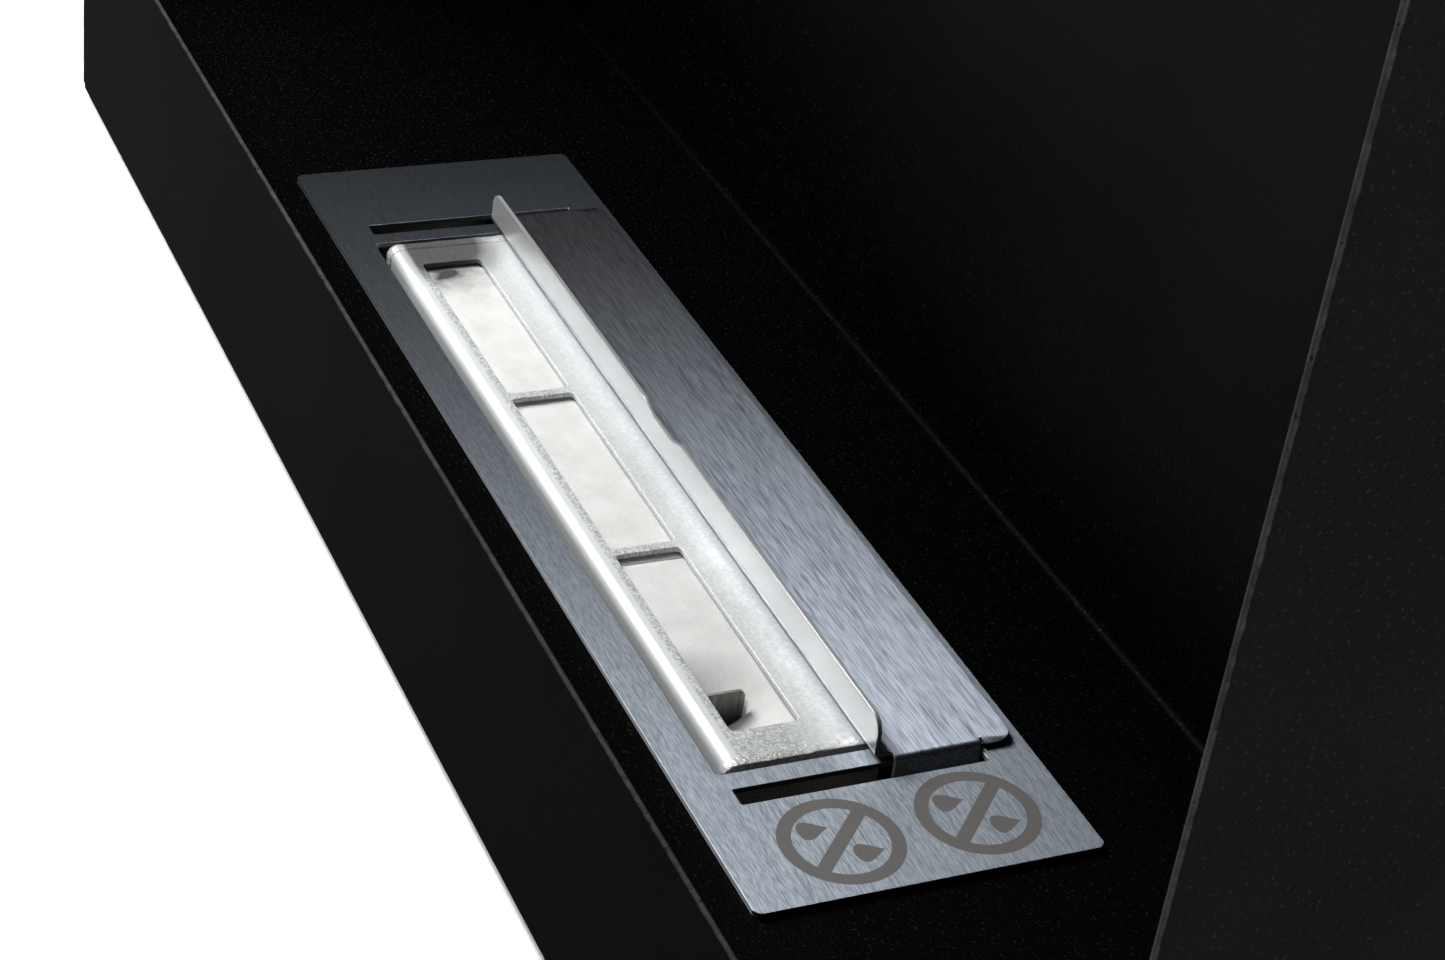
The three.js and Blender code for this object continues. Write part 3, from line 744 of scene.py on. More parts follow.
# %% Group: etched sign
etched_sign, given, put = new_group(
    "Etched sign",
    [
        ("Place", "Vector", None),
        ("Centre", "Vector", (0.0, 0.0, 0.0)),
        ("Radius", "Float", 0.0174),
        ("Line", "Float", 0.0047),
    ],
    [("Mask", "Float")],
)
SOFT_EDGE = 0.00012  # metres over which a line's edge fades
from_centre = add_node(
    etched_sign, "ShaderNodeVectorMath", {0: given["Place"], 1: given["Centre"]},
    operation="SUBTRACT",
).outputs[0]
parts = add_node(etched_sign, "ShaderNodeSeparateXYZ", {0: from_centre}).outputs
distance = maths(
    etched_sign,
    "SQRT",
    maths(
        etched_sign,
        "ADD",
        maths(etched_sign, "MULTIPLY", parts["X"], parts["X"]),
        maths(etched_sign, "MULTIPLY", parts["Y"], parts["Y"]),
    ),
)
half_line = maths(etched_sign, "MULTIPLY", given["Line"], 0.5)


def within(tree, value, limit):
    """1 where the value is below the limit, fading to 0 over a soft edge."""
    return maths(
        tree, "DIVIDE", maths(tree, "SUBTRACT", limit, value), SOFT_EDGE, clamp=True
    )


off_ring = maths(
    etched_sign, "ABSOLUTE", maths(etched_sign, "SUBTRACT", distance, given["Radius"])
)
diagonal = maths(etched_sign, "ADD", parts["X"], parts["Y"])
off_bar = maths(etched_sign, "ABSOLUTE", maths(etched_sign, "MULTIPLY", diagonal, math.sqrt(0.5)))
ring = within(etched_sign, off_ring, half_line)
bar = maths(
    etched_sign,
    "MULTIPLY",
    within(etched_sign, off_bar, half_line),
    within(etched_sign, distance, given["Radius"]),
)


DROP_SIZE = 0.0042  # a drop's greatest half width, in metres
DROP_TALL, DROP_WIDE = 1.25, 1.3  # half height over half width, and the largest sqrt(1-h^2) (1-h)
DROP_AT = ((0.0068, 0.0066), (-0.0068, -0.0062))


def drop(tree, x, y, centre):
    """A drop's outline: a circle that draws in to a point. With h from -1 at its foot to 1 at its
    point, the half width is DROP_SIZE * sqrt(1 - h^2) * (1 - h) / DROP_WIDE."""
    h = maths(tree, "DIVIDE", maths(tree, "SUBTRACT", y, centre[1]), DROP_SIZE * DROP_TALL)
    wide = maths(tree, "SQRT", maths(tree, "SUBTRACT", 1.0, maths(tree, "MULTIPLY", h, h), True))
    pointed = maths(tree, "MULTIPLY", wide, maths(tree, "SUBTRACT", 1.0, h))
    reach = maths(tree, "MULTIPLY", pointed, DROP_SIZE / DROP_WIDE)
    return within(tree, maths(tree, "ABSOLUTE", maths(tree, "SUBTRACT", x, centre[0])), reach)


drops = maths(
    etched_sign, "MAXIMUM", *[drop(etched_sign, parts["X"], parts["Y"], at) for at in DROP_AT]
)
put(Mask=maths(etched_sign, "MAXIMUM", maths(etched_sign, "MAXIMUM", ring, bar), drops))
print("etched sign is ready")

# %% [markdown]
# ### Black powder coat
# Powder coat is a thick, baked plastic skin: nearly black, matt, with a fine orange-peel grit, and
# sparse grains of it are painted a lighter grey as painted glints. On the cut edges it is thinner
# and looks a little lighter, and that lighter rim is also a painted highlight on the rounded edge.
# The hearth gets a deeper, heat-proof black than the outer panels, which is why there are two of
# them; its black is painted paler up the back wall and towards the right, a painted sheen.

# %% Black coats
PAINTED_SHEEN_UP, PAINTED_SHEEN_RIGHT = (0.07, 0.30), (-0.45, 0.40)  # the z and x over which the hearth's black is painted paler: a painted sheen


def black_coat(name, black, worn_and_lit, specular, rough, glint, pale=None):
    """A black coat: the flat black, the rim grey, the glint grey and the paler grey are linear
    greys, and specular is its reflection.

    The rim grey is lighter partly because the coat is thinner there and partly as a painted
    highlight on the rounded edge. The glint grey paints sparse grains lighter as painted glints.
    Where a paler grey is given, the flat fades from black to it with height, and a little from left
    to right: a painted sheen."""
    finish, tree, surface, place = new_finish(name, Specular_IOR_Level=specular)
    grain = use_group(tree, fine_grain, {"Place": place, "Grit per metre": 900.0, "Rarity": 0.62})
    edge = use_group(
        tree, cut_edge, {"Rim": rim_of(tree), "Place": place, "Patchiness": 0.35}
    )["Worn"]
    flat = (black,) * 3
    # painted sheen: where pale is given, the flat black is painted paler with height and towards the
    # right
    if pale is not None:
        parts = add_node(tree, "ShaderNodeSeparateXYZ", {0: place}).outputs
        rise = maths(
            tree, "ADD", remap(tree, parts["Z"], *PAINTED_SHEEN_UP),
            remap(tree, parts["X"], *PAINTED_SHEEN_RIGHT, -0.35, 0.15),
        )
        flat = blend_colour(tree, remap(tree, rise, 0.0, 1.1), flat, (pale,) * 3)
    # the rim grey: partly a thinner coat, partly a painted highlight on the rounded edge
    tinted = blend_colour(tree, edge, flat, (worn_and_lit,) * 3)
    cloudy = remap(tree, grain["Clouds"], 0.0, 1.0, 0.85, 1.15)
    clouded = add_node(
        tree, "ShaderNodeVectorMath", {0: tinted, "Scale": cloudy}, operation="SCALE"
    ).outputs[0]
    # painted glints: sparse grains are painted a lighter grey
    painted_glints = blend_colour(tree, grain["Glints"], clouded, (glint,) * 3)
    roughness = remap(tree, grain["Glints"], 0.0, 1.0, rough, rough - 0.2)
    feed(
        tree, surface, Base_Color=painted_glints, Roughness=roughness,
        Normal=bump(tree, grain["Grit"], 0.00018, 0.55),
    )
    return finish


# both coats paint lighter rims and glints; the heat-proof coat also paints a paler sheen up its wall
outer_black = black_coat("black powder coat", 0.0036, 0.05, 0.001, 0.55, 0.008)
hearth_black = black_coat("heat-proof black coat", 0.0005, 0.026, 0.02, 0.5, 0.012, 0.011)
print("black coats are ready")

# %% [markdown]
# ### Brushed and ground stainless steel
# A brushing belt scratches the sheet along its length, so a highlight spreads across the grain and
# not along it. The shader's anisotropy does that, with its tangent taken from the sheet's own UV
# map, which runs along the blank. The streaks vary the tone and roughness, and a very low bump
# breaks up the highlight. The shutter's lip is polished instead, and less purely metallic than the
# cover, so that it doesn't mirror the lamp onto the tank. The shutter's left half is painted darker
# and a little warmer: painted shade for the far end, where the lamp's reflection falls away.

# %% Brushed steel


def brushed_steel(name, dark, light, rough, anisotropy, grain_scale, coarse=0.25, edge=(0.5,) * 3):
    """Brushed stainless steel, with the colours of its darkest and lightest streak.

    Returns the material, its tree, shader and object coordinates, and the colour and roughness,
    so that a sheet's own marks can be added over them."""
    finish, tree, surface, place = new_finish(
        name, Metallic=1.0, Anisotropic=anisotropy, Anisotropic_Rotation=0.25
    )
    grain = use_group(
        tree, brushed_grain, {"Place": place, "Along": grain_scale, "Coarse": coarse}
    )
    tone = weighted(tree, (grain["Streaks"], 0.84), (grain["Bands"], 0.16))
    colour = blend_colour(tree, tone, dark, light)
    worn_and_lit = use_group(
        tree, cut_edge, {"Rim": rim_of(tree), "Place": place, "Patchiness": 0.3}
    )["Worn"]
    # cut edges painted a lighter grey: partly bare, handled metal, partly a painted highlight on the
    # rolled edge
    colour = blend_colour(tree, worn_and_lit, colour, edge)
    roughness = remap(tree, tone, 0.0, 1.0, rough + 0.05, rough - 0.05)
    direction = add_node(tree, "ShaderNodeTangent", direction_type="UV_MAP", uv_map="grain")
    tree.links.new(direction.outputs[0], surface.inputs["Tangent"])
    feed(
        tree, surface, Base_Color=colour, Roughness=roughness,
        Normal=bump(tree, tone, 0.00002, 0.5),
    )
    return finish, tree, surface, place, colour, roughness


SIGN_X = (208.1, 209.3)  # the two signs' centres, from the middle of the cover plate
SIGN_Y = (26.8, -19.9)
plate_steel, tree, surface, place, colour, roughness = brushed_steel(
    "brushed stainless", (0.07, 0.083, 0.10), (0.225, 0.245, 0.27), 0.46, 0.86,
    (60.0, 3200.0, 3200.0), 0.3, (0.25, 0.26, 0.28),
)
masks = [
    use_group(
        tree, etched_sign, {"Place": place, "Centre": (x * MM, (burner_y + y) * MM, 0.0)}
    )["Mask"]
    for x, y in zip(SIGN_X, SIGN_Y)
]
etched = maths(tree, "MAXIMUM", *masks)
feed(
    tree, surface,
    Base_Color=blend_colour(tree, etched, colour, (0.085, 0.082, 0.08)),
    Roughness=maths(tree, "ADD", maths(tree, "MULTIPLY", etched, 0.25), roughness),
)
print("the cover plate's finish is ready")

# %% The shutter's steel
COVER_TOP = plate_top + 2.8  # the shutter's flat cover; its lip rises above it
LIP_RISE = (0.9, 1.6)  # the polish sets in between these heights above the cover
TAB_DROP = (-0.8, -2.4)  # and the tabs turn duller between these
# painted shade: the shutter's left half is multiplied towards this darker, warmer tint, between
# these x
FAR_SHADE_TINT, SHADED_FROM, SHADED_TO = (0.60, 0.52, 0.49), -0.16, 0.0
POLISHED = (0.44, 0.448, 0.452)
shutter_steel, tree, surface, place, colour, roughness = brushed_steel(
    "shutter stainless", (0.10, 0.118, 0.145), (0.62, 0.68, 0.77), 0.40, 0.88,
    (26.0, 2200.0, 2200.0), 0.35,
)
sides_of_place = add_node(tree, "ShaderNodeSeparateXYZ", {0: place}).outputs
height = sides_of_place["Z"]
# painted shade: strongest at the left end, gone by the middle
far_shade = remap(tree, sides_of_place["X"], SHADED_FROM, SHADED_TO, 0.85, 0.0)
tinted = add_node(
    tree, "ShaderNodeVectorMath", {0: colour, 1: FAR_SHADE_TINT}, operation="MULTIPLY"
).outputs[0]
colour = blend_colour(tree, far_shade, colour, tinted)
polished = remap(tree, height, *[(COVER_TOP + rise) * MM for rise in LIP_RISE])
below = remap(tree, height, *[(COVER_TOP + rise) * MM for rise in TAB_DROP])
feed(
    tree, surface,
    Base_Color=blend_colour(tree, polished, colour, POLISHED),
    Roughness=maths(tree, "SUBTRACT", roughness, maths(tree, "MULTIPLY", polished, 0.20)),
    Metallic=maths(tree, "SUBTRACT", 1.0, weighted(tree, (polished, 0.55), (below, 0.65))),
)
dull_steel = brushed_steel(
    "dull stainless", (0.10, 0.095, 0.09), (0.20, 0.19, 0.18), 0.42, 0.3, (60.0, 900.0, 60.0)
)[0]
print("brushed finishes are ready")

# %% [markdown]
# The tank is ground bright after welding. Its scratches are short and crossed, so it glows evenly
# from every side, which a partly diffuse metal copies well. The front of its top is painted
# brighter, a painted highlight where the lamp catches its front bend. The margin between that and
# the windows is speckled. A dark patch is painted at the left end as painted shade, where the metal
# falls out of the lamp's reflection. The welds themselves are rougher.

# %% Ground steel
# painted shade: the tank's top is painted dark and rough at its left end
TANK_SHADE_AT = (-166.0, burner_y - 22.0, plate_top)  # where the painted shade on the tank's top is darkest
TANK_SHADE_FADE = (0.019, 0.033)  # metres from there over which it fades out
TANK_SHADE_COLOUR = (0.05, 0.048, 0.046)
DRIFT = 0.008  # metres by which clouds move the painted shade's outline
HIGHLIGHT_BAND = 5.6  # the front of the tank's top is painted brighter, a painted highlight, this far from its front face
RIDGE_EDGE = 0.0007  # metres over which that bright band ends
SPECKLE_END = (-16.0, -5.0)  # the speckle fades out between these, from the burner's middle line


def ground_steel(name, dark, light, rough, lumps, metallic=0.45):
    """Ground stainless steel: crossed short scratches, faint clouds and, on a weld, lumps.

    Over that come the front band, painted brighter as a painted highlight, the speckled margin and,
    at the left end, a painted shade."""
    finish, tree, surface, place = new_finish(name, Metallic=metallic)
    grain = use_group(
        tree, brushed_grain, {"Place": place, "Along": (160.0, 700.0, 700.0), "Coarse": 0.3}
    )
    grit = use_group(tree, fine_grain, {"Place": place, "Grit per metre": 1300.0, "Rarity": 0.7})
    tone = weighted(tree, (grain["Streaks"], 0.35), (grit["Grit"], 0.25), (grit["Clouds"], 0.4))
    height = maths(tree, "ADD", grain["Streaks"], grit["Grit"])
    from_tank_shade = add_node(
        tree, "ShaderNodeVectorMath", {0: place, 1: tuple(v * MM for v in TANK_SHADE_AT)},
        operation="DISTANCE",
    ).outputs["Value"]
    drift = maths(tree, "MULTIPLY", maths(tree, "SUBTRACT", grit["Clouds"], 0.5), DRIFT)
    across = add_node(tree, "ShaderNodeSeparateXYZ", {0: place}).outputs["Y"]
    ridge = (tank_low[1] + HIGHLIGHT_BAND) * MM
    speckle_end = [(burner_y + y) * MM for y in SPECKLE_END]
    margin = maths(
        tree, "MULTIPLY", remap(tree, across, ridge, ridge + RIDGE_EDGE),
        remap(tree, across, *speckle_end, 1.0, 0.0),
    )
    # painted shade: dark at the left end of the tank's top, and rougher there too
    painted_shade = maths(
        tree, "MULTIPLY",
        remap(tree, maths(tree, "ADD", from_tank_shade, drift), *TANK_SHADE_FADE, 0.92, 0.0),
        remap(tree, across, ridge - 0.001, ridge + 0.001, 0.35, 1.0),
    )
    flecks = remap(tree, grit["Grit"], 0.35, 0.75)
    # painted highlight: the front of the top is painted brighter
    painted_highlight = remap(tree, across, ridge, ridge + RIDGE_EDGE, 0.6, 0.0)
    worked = blend_colour(tree, maths(tree, "MAXIMUM", tone, painted_highlight), dark, light)
    speckled = blend_colour(
        tree, weighted(tree, (flecks, 0.6), (grain["Streaks"], 0.4)),
        tuple(0.5 * v for v in dark), light,
    )
    clean = blend_colour(tree, maths(tree, "MULTIPLY", margin, 0.8), worked, speckled)
    feed(
        tree, surface,
        Base_Color=blend_colour(tree, painted_shade, clean, TANK_SHADE_COLOUR),
        Roughness=maths(
            tree, "MAXIMUM", painted_shade, remap(tree, tone, 0.0, 1.0, rough + 0.08, rough - 0.08)
        ),
        Normal=bump(tree, height, 0.00003 + lumps, 0.5),
        Metallic=maths(tree, "SUBTRACT", metallic, maths(tree, "MULTIPLY", rim_of(tree), 0.35)),
    )
    return finish


tank_steel = ground_steel("bright stainless", (0.50, 0.525, 0.53), (0.84, 0.86, 0.86), 0.52, 0.0)
weld_steel = ground_steel("ground weld", (0.50, 0.505, 0.50), (0.92, 0.925, 0.92), 0.42, 0.00025)
print("ground finishes are ready")

# %% [markdown]
# ### Small parts
# Zinc plate on the screws is bright with a faint bluish cloud, and the feet are plain black rubber.
# Ceramic wool is made of short white fibres, so it is quite matt, with a soft nap, and it turns dark
# in a ragged patch by the left end of the left window.

# %% Zinc and rubber


def gritty(name, per_metre, colours, roughness, relief, **shader):
    """A plain finish that fine grit varies: two colours, two roughnesses, bump and its strength."""
    finish, tree, surface, place = new_finish(name, **shader)
    grit = use_group(tree, fine_grain, {"Place": place, "Grit per metre": per_metre})["Grit"]
    feed(
        tree, surface,
        Base_Color=blend_colour(tree, grit, *colours),
        Roughness=remap(tree, grit, 0.0, 1.0, *roughness),
        Normal=bump(tree, grit, *relief),
    )
    return finish


zinc = gritty(
    "zinc plate", 2500.0, ((0.50, 0.52, 0.55), (0.68, 0.69, 0.70)), (0.42, 0.3), (0.00003, 0.4),
    Metallic=1.0,
)
rubber = gritty(
    "foot rubber", 1400.0, ((0.012,) * 3, (0.03,) * 3), (0.85, 0.7), (0.0001, 0.5),
    Specular_IOR_Level=0.3,
)
print("zinc and rubber are ready")

# %% Wool
# a dark, ragged patch on the wool by the left end of the left window
DARK_PATCH_AT = (-149.0, burner_y - 22.0, plate_top - 4.0)  # by the left end of the left window
DARK_PATCH_FADE = (0.026, 0.001)  # metres from there over which the patch darkens
DARK_PATCH_CURVE, DARK_PATCH_SHARE = 1.9, 0.93  # how late it darkens, and its share where it is darkest
DARK_PATCH_COLOUR = (0.012, 0.011, 0.010)
wool_white, tree, surface, place = new_finish("ceramic wool", Specular_IOR_Level=0.15)
fibres = add_node(
    tree, "ShaderNodeTexNoise", {"Vector": place, "Scale": 900.0, "Detail": 6.0, "Distortion": 1.5}
).outputs["Fac"]
tufts = add_node(
    tree, "ShaderNodeTexNoise", {"Vector": place, "Scale": 90.0, "Detail": 4.0}
).outputs["Fac"]
ragged = add_node(
    tree, "ShaderNodeTexNoise", {"Vector": place, "Scale": 110.0, "Detail": 5.0, "Distortion": 0.2}
).outputs["Fac"]
from_dark_patch = add_node(
    tree, "ShaderNodeVectorMath", {0: place, 1: tuple(v * MM for v in DARK_PATCH_AT)},
    operation="DISTANCE",
).outputs["Value"]
patch_distance = maths(tree, "SUBTRACT", from_dark_patch, remap(tree, ragged, 0.3, 0.7, -0.004, 0.006))
grown = maths(tree, "POWER", remap(tree, patch_distance, *DARK_PATCH_FADE), DARK_PATCH_CURVE)
dark_patch = maths(tree, "MULTIPLY", grown, DARK_PATCH_SHARE)
shade = weighted(tree, (fibres, 0.4), (tufts, 0.6))
white = blend_colour(
    tree, remap(tree, shade, 0.35, 0.65), (0.56, 0.555, 0.545), (0.66, 0.655, 0.645)
)
feed(
    tree, surface,
    Base_Color=blend_colour(tree, dark_patch, white, DARK_PATCH_COLOUR),
    Roughness=remap(tree, fibres, 0.3, 0.7, 0.98, 0.86),
    Normal=bump(tree, shade, 0.0006, 0.6),
)

floor_paint = new_finish(
    "studio floor", Base_Color=(0.92, 0.92, 0.92, 1), Roughness=0.8, Specular_IOR_Level=0.1
)[0]
floor_mesh.materials.append(floor_paint)
print(len(bpy.data.materials), "materials")

# %% [markdown]
# ## The case's side panels
# A side is one 2 mm sheet. Its rear edge is folded in to face the wall, and stops short of the top
# panel's rear fold. Its bottom edge is folded in as a shelf for the base panel. The front edge is
# left as cut: it is the light strip that runs up beside the opening.

# %% Side panels
SHEET, BEND, COAT_ROLL = 2.0, 2.0, 0.85
BACK_FOLD = 20.0  # width of the folds along the rear and bottom edges
TOP_FOLD_CLEAR = 20.3  # from the panel's top to the end of its rear fold
SHELF_START = 25.3  # the bottom fold starts this far behind the front edge
RELIEF = 0.5  # depth of the cuts that let two folds meet in a corner
THIN_ROLL = 0.3  # the rolled edge of a sheet whose coat is thin, or of bare tank steel
SCREW_INSET, SCREW_HOLE = 11.0, 2.25
REAR_SCREWS, BASE_SCREWS = (60.0, 250.0, 440.0), (-70.0, 90.0)


def side_panel(side):
    """The blank in (a, b): a runs down, and b runs from the front edge, round the rear fold."""
    low, high = span("right_side_panel")
    arc = (SHEET + BEND) * np.pi / 2  # length of a bend, on the sheet's outer face
    path = [(low[1], high[0]), (high[1], high[0]), (high[1], high[0] - BACK_FOLD)]
    section, length, lines, starts = fold(path, SHEET, BEND)
    shelf_line = -(low[2] + SHEET + BEND)  # distance down at which the bottom fold starts
    shelf_end = shelf_line + arc + BACK_FOLD - SHEET - BEND
    edge = shelf_line - RELIEF
    corner = starts[1][0] - arc - RELIEF
    rear_end = -(high[2] - TOP_FOLD_CLEAR)
    outline = fillet(
        [
            (-high[2], 0), (edge, 0), (edge, SHELF_START), (shelf_end, SHELF_START),
            (shelf_end, corner), (edge, corner), (edge, length), (rear_end, length),
            (rear_end, corner), (-high[2], corner),
        ],
        [0.6, 0.6, 0, 1.5, 1.5, 0, 1.0, 1.0, 0, 0.6],
        4,
    )

    def place(a, b, t):
        y, x = section(b, t)
        down, inward = turned_edge(a, t, shelf_line, SHEET, BEND)
        return np.column_stack([side * (x - (inward - t)), y, -down])

    across = [(1, b, -np.inf, np.inf) for b in lines]
    steps = np.linspace(shelf_line, shelf_line + arc, BEND_STEPS + 1)
    across += [(0, a, SHELF_START, corner) for a in steps]
    holes = [
        hole(disc(-z, length - BACK_FOLD + SCREW_INSET, SCREW_HOLE, 24)) for z in REAR_SCREWS
    ]
    bottom = shelf_end - BACK_FOLD + SCREW_INSET
    holes += [hole(disc(bottom, y - low[1], SCREW_HOLE, 24)) for y in BASE_SCREWS]
    return blank([outline] + holes, SHEET, COAT_ROLL, place, across)


for side_name, side in SIDES:
    name = side_name + "_side_panel"
    add_piece(name, "case", outer_black, [side_panel(side)])

# %% [markdown]
# ## Top, front and hearth
# These three run from side to side, so each one is a long blank folded along the case's width. The
# front panel stands up as a lip and hides the burner's tank. The hearth is one sheet too: a short
# fold behind the lip, the floor with the burner's cut-out, and the inner back wall.

# %% Top, front and hearth
CUTOUT_HALF, CUTOUT_RADIUS = (222.0, 48.0), 4.0
HEARTH_BEND, HEARTH_FOLD = 3.0, 20.0


def wide_sheet(name, path, bend, holes=(), roll=COAT_ROLL):
    """A folded sheet as wide as its CAD node; holes take b from its place on the blank."""
    low, high = span(name)
    length = blank_length(path, SHEET, bend)
    outline = rectangle(low[0], 0, high[0], length, 1.0)
    return folded([outline, *holes], path, SHEET, bend, roll, along_x)


low, high = span("top_panel")
top_path = [(low[1], low[2]), (low[1], high[2]), (high[1], high[2]), (high[1], high[2] - BACK_FOLD)]
add_piece(
    "top_panel", "case", outer_black,
    [wide_sheet("top_panel", top_path, BEND)],
)

low, high = span("front_panel")
front_path = [(high[1], low[2]), (low[1], low[2]), (low[1], high[2])]
add_piece(
    "front_panel", "case", outer_black,
    [wide_sheet("front_panel", front_path, BEND)],
)

low, high = span("hearth_liner")
wall_front = high[1] - SHEET
hearth_z = low[2] + HEARTH_FOLD
hearth_path = [(low[1], low[2]), (low[1], hearth_z), (wall_front, hearth_z), (wall_front, high[2])]
middle = where_on_blank(
    hearth_path, SHEET, HEARTH_BEND, 1, burner_y - low[1] - HEARTH_BEND - SHEET
)
cutout = rectangle(
    -CUTOUT_HALF[0], middle - CUTOUT_HALF[1], CUTOUT_HALF[0], middle + CUTOUT_HALF[1],
    CUTOUT_RADIUS,
)
add_piece(
    "hearth_liner", "case", hearth_black,
    [wide_sheet("hearth_liner", hearth_path, HEARTH_BEND, [hole(cutout)])],
)

# %% [markdown]
# ## Base and rear panels
# Both are flat sheets that close the case. The rear panel has two keyholes: a wall screw's head
# goes through the round part, and the case then drops until the screw sits in the slot.

# %% Base and rear panels
REAR_SHEET = 1.5
KEYHOLE_AT, KEYHOLE_RADIUS = (300.0, 440.0), 6.0
SLOT_HALF, SLOT_TOP = 3.0, 14.0  # half width, and how far the slot reaches above the middle


def keyhole(x, z):
    """A circle joined to a narrower slot with a round top, anticlockwise."""
    spread = math.asin(SLOT_HALF / KEYHOLE_RADIUS)
    w = np.linspace(math.pi / 2 + spread, 2.5 * math.pi - spread, 36)
    head = np.stack([x + KEYHOLE_RADIUS * np.cos(w), z + KEYHOLE_RADIUS * np.sin(w)], 1)
    w = np.linspace(0, math.pi, 18)
    top = np.stack([x + SLOT_HALF * np.cos(w), z + SLOT_TOP - SLOT_HALF + SLOT_HALF * np.sin(w)], 1)
    return np.vstack([head, top])


low, high = span("rear_panel")
loops = [rectangle(low[0], low[2], high[0], high[2], 1.5)]
for _, side in SIDES:
    loops.append(hole(keyhole(side * KEYHOLE_AT[0], KEYHOLE_AT[1])))
    screw_x = side * (case_high[0] - SCREW_INSET)
    loops += [hole(disc(screw_x, z, SCREW_HOLE, 24)) for z in REAR_SCREWS]
add_piece(
    "rear_panel", "case", outer_black,
    [blank(loops, REAR_SHEET, THIN_ROLL, lambda a, b, t: np.column_stack([a, high[1] - t, b]))],
)

base_low, base_high = span("base_panel")
loops = [rectangle(base_low[0], base_low[1], base_high[0], base_high[1], 1.5)]
for _, side in SIDES:
    screw_x = side * (case_high[0] - SCREW_INSET)
    loops += [hole(disc(screw_x, y, SCREW_HOLE, 24)) for y in BASE_SCREWS]
add_piece(
    "base_panel", "case", outer_black,
    [blank(loops, SHEET, THIN_ROLL, lying(base_low[2]))],
)

# %% [markdown]
# ## Screws and feet
# Ten countersunk screws hold the rear and base panels. Each one is turned, with a round drive
# recess, and its place is its CAD node's middle. Four rubber pads keep the case off the shelf.

# %% Screws and feet
SHANK, HEAD, HEAD_DEPTH, SCREW_LENGTH = 1.9, 3.6, 1.9, 9.0
DRIVE, DRIVE_DEPTH = 1.3, 1.1
DISH = (0.55, 0.62)  # the pad's underside is dished out to these shares of its radius
SCREW_PROFILE = softened(
    [
        (0, DRIVE_DEPTH), (DRIVE * 0.8, DRIVE_DEPTH), (DRIVE, 0.0), (HEAD, 0.0), (HEAD, 0.3),
        (SHANK, HEAD_DEPTH), (SHANK, SCREW_LENGTH - 1), (SHANK - 0.7, SCREW_LENGTH),
        (0, SCREW_LENGTH),
    ],
    0.2,
)
for name in [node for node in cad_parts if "_screw" in node]:
    low, high = span(name)
    centre = (low + high) / 2
    if "rear_screw" in name:
        centre[1], axis = high[1], (0.0, -1.0, 0.0)
    else:
        centre[2], axis = low[2], (0.0, 0.0, 1.0)
    add_piece(name, "case", zinc, [turned(SCREW_PROFILE, centre, axis)])

for name in [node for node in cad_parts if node.startswith("foot_pad")]:
    low, high = span(name)
    radius, rise = (high[0] - low[0]) / 2, high[2] - low[2]
    profile = softened(
        [
            (0, 0.5), (radius * DISH[0], 0.5), (radius * DISH[1], 0.0), (radius - 0.8, 0.0),
            (radius, 0.8), (radius, rise), (0, rise),
        ],
        0.35,
    )
    centre = np.array([(low[0] + high[0]) / 2, (low[1] + high[1]) / 2, low[2]])
    add_piece(name, "case", rubber, [turned(profile, centre, (0.0, 0.0, 1.0), 64)])

# %% [markdown]
# ## The cover plate
# The burner hangs from this 2 mm plate. It was brushed along its length, then cut: a long well for
# the tank, a guide slot across each end for the shutter's tabs, and four studs pressed in below.

# %% Cover plate
STEEL_ROLL = 0.25
WELL_HALF, WELL_FRONT, WELL_BACK, WELL_CORNER = 171.0, -44.3, 18.0, 2.0  # from the plate's middle
GUIDE_INNER, GUIDE_OUTER, GUIDE_CORNER = 178.6, 186.0, 0.8
GUIDE_FRONT, GUIDE_BACK = -42.3, 42.4
STUD_X, STUD_Y, STUD_RADIUS, STUD_LENGTH = 207.0, (-27.0, 1.0), 1.9, 8.0
STUD_SET = 1.0  # how deep the studs are pressed into the plate


def plate_blank():
    """The plate's outline and holes in (x, y), from its middle."""
    half_x = plate_high[0]
    half_y = (plate_high[1] - plate_low[1]) / 2
    loops = [rectangle(-half_x, -half_y, half_x, half_y, 3.0)]
    loops.append(hole(rectangle(-WELL_HALF, WELL_FRONT, WELL_HALF, WELL_BACK, WELL_CORNER)))
    for _, side in SIDES:
        near, far = sorted((side * GUIDE_INNER, side * GUIDE_OUTER))
        loops.append(hole(rectangle(near, GUIDE_FRONT, far, GUIDE_BACK, GUIDE_CORNER)))
    return blank(
        loops, SHEET, STEEL_ROLL, lambda a, b, t: np.column_stack([a, b + burner_y, plate_top - t])
    )


stud_end = -STUD_LENGTH - STUD_SET
stud_profile = softened([(0, 0), (STUD_RADIUS, 0), (STUD_RADIUS, stud_end), (0, stud_end)], 0.4)
studs = [
    turned(
        stud_profile, np.array([side * STUD_X, burner_y + y, plate_top - STUD_SET]),
        (0.0, 0.0, 1.0),
    )
    for _, side in SIDES
    for y in STUD_Y
]
add_piece("cover_plate", "burner_insert", plate_steel, [plate_blank(), *studs])

# %% [markdown]
# ## The tank
# The tank's front, top and back are one sheet, folded over and ground bright. Its top has three
# windows with a crossbar between each pair. Flat ends close it, and a shallow tray closes its
# bottom.

# %% Tank shell
TANK_BEND = 2.0
WINDOWS_HALF, WINDOW_FRONT, WINDOW_BACK = 152.0, -31.1, -7.3  # from the plate's middle
CROSSBAR, WINDOW_CORNER = 3.9, 2.0


def window_spans():
    """The x of each window's two ends: three windows of one length between two crossbars."""
    length = (2 * WINDOWS_HALF - 2 * CROSSBAR) / 3
    start = -WINDOWS_HALF + np.arange(3) * (length + CROSSBAR)
    return np.stack([start, start + length], 1)


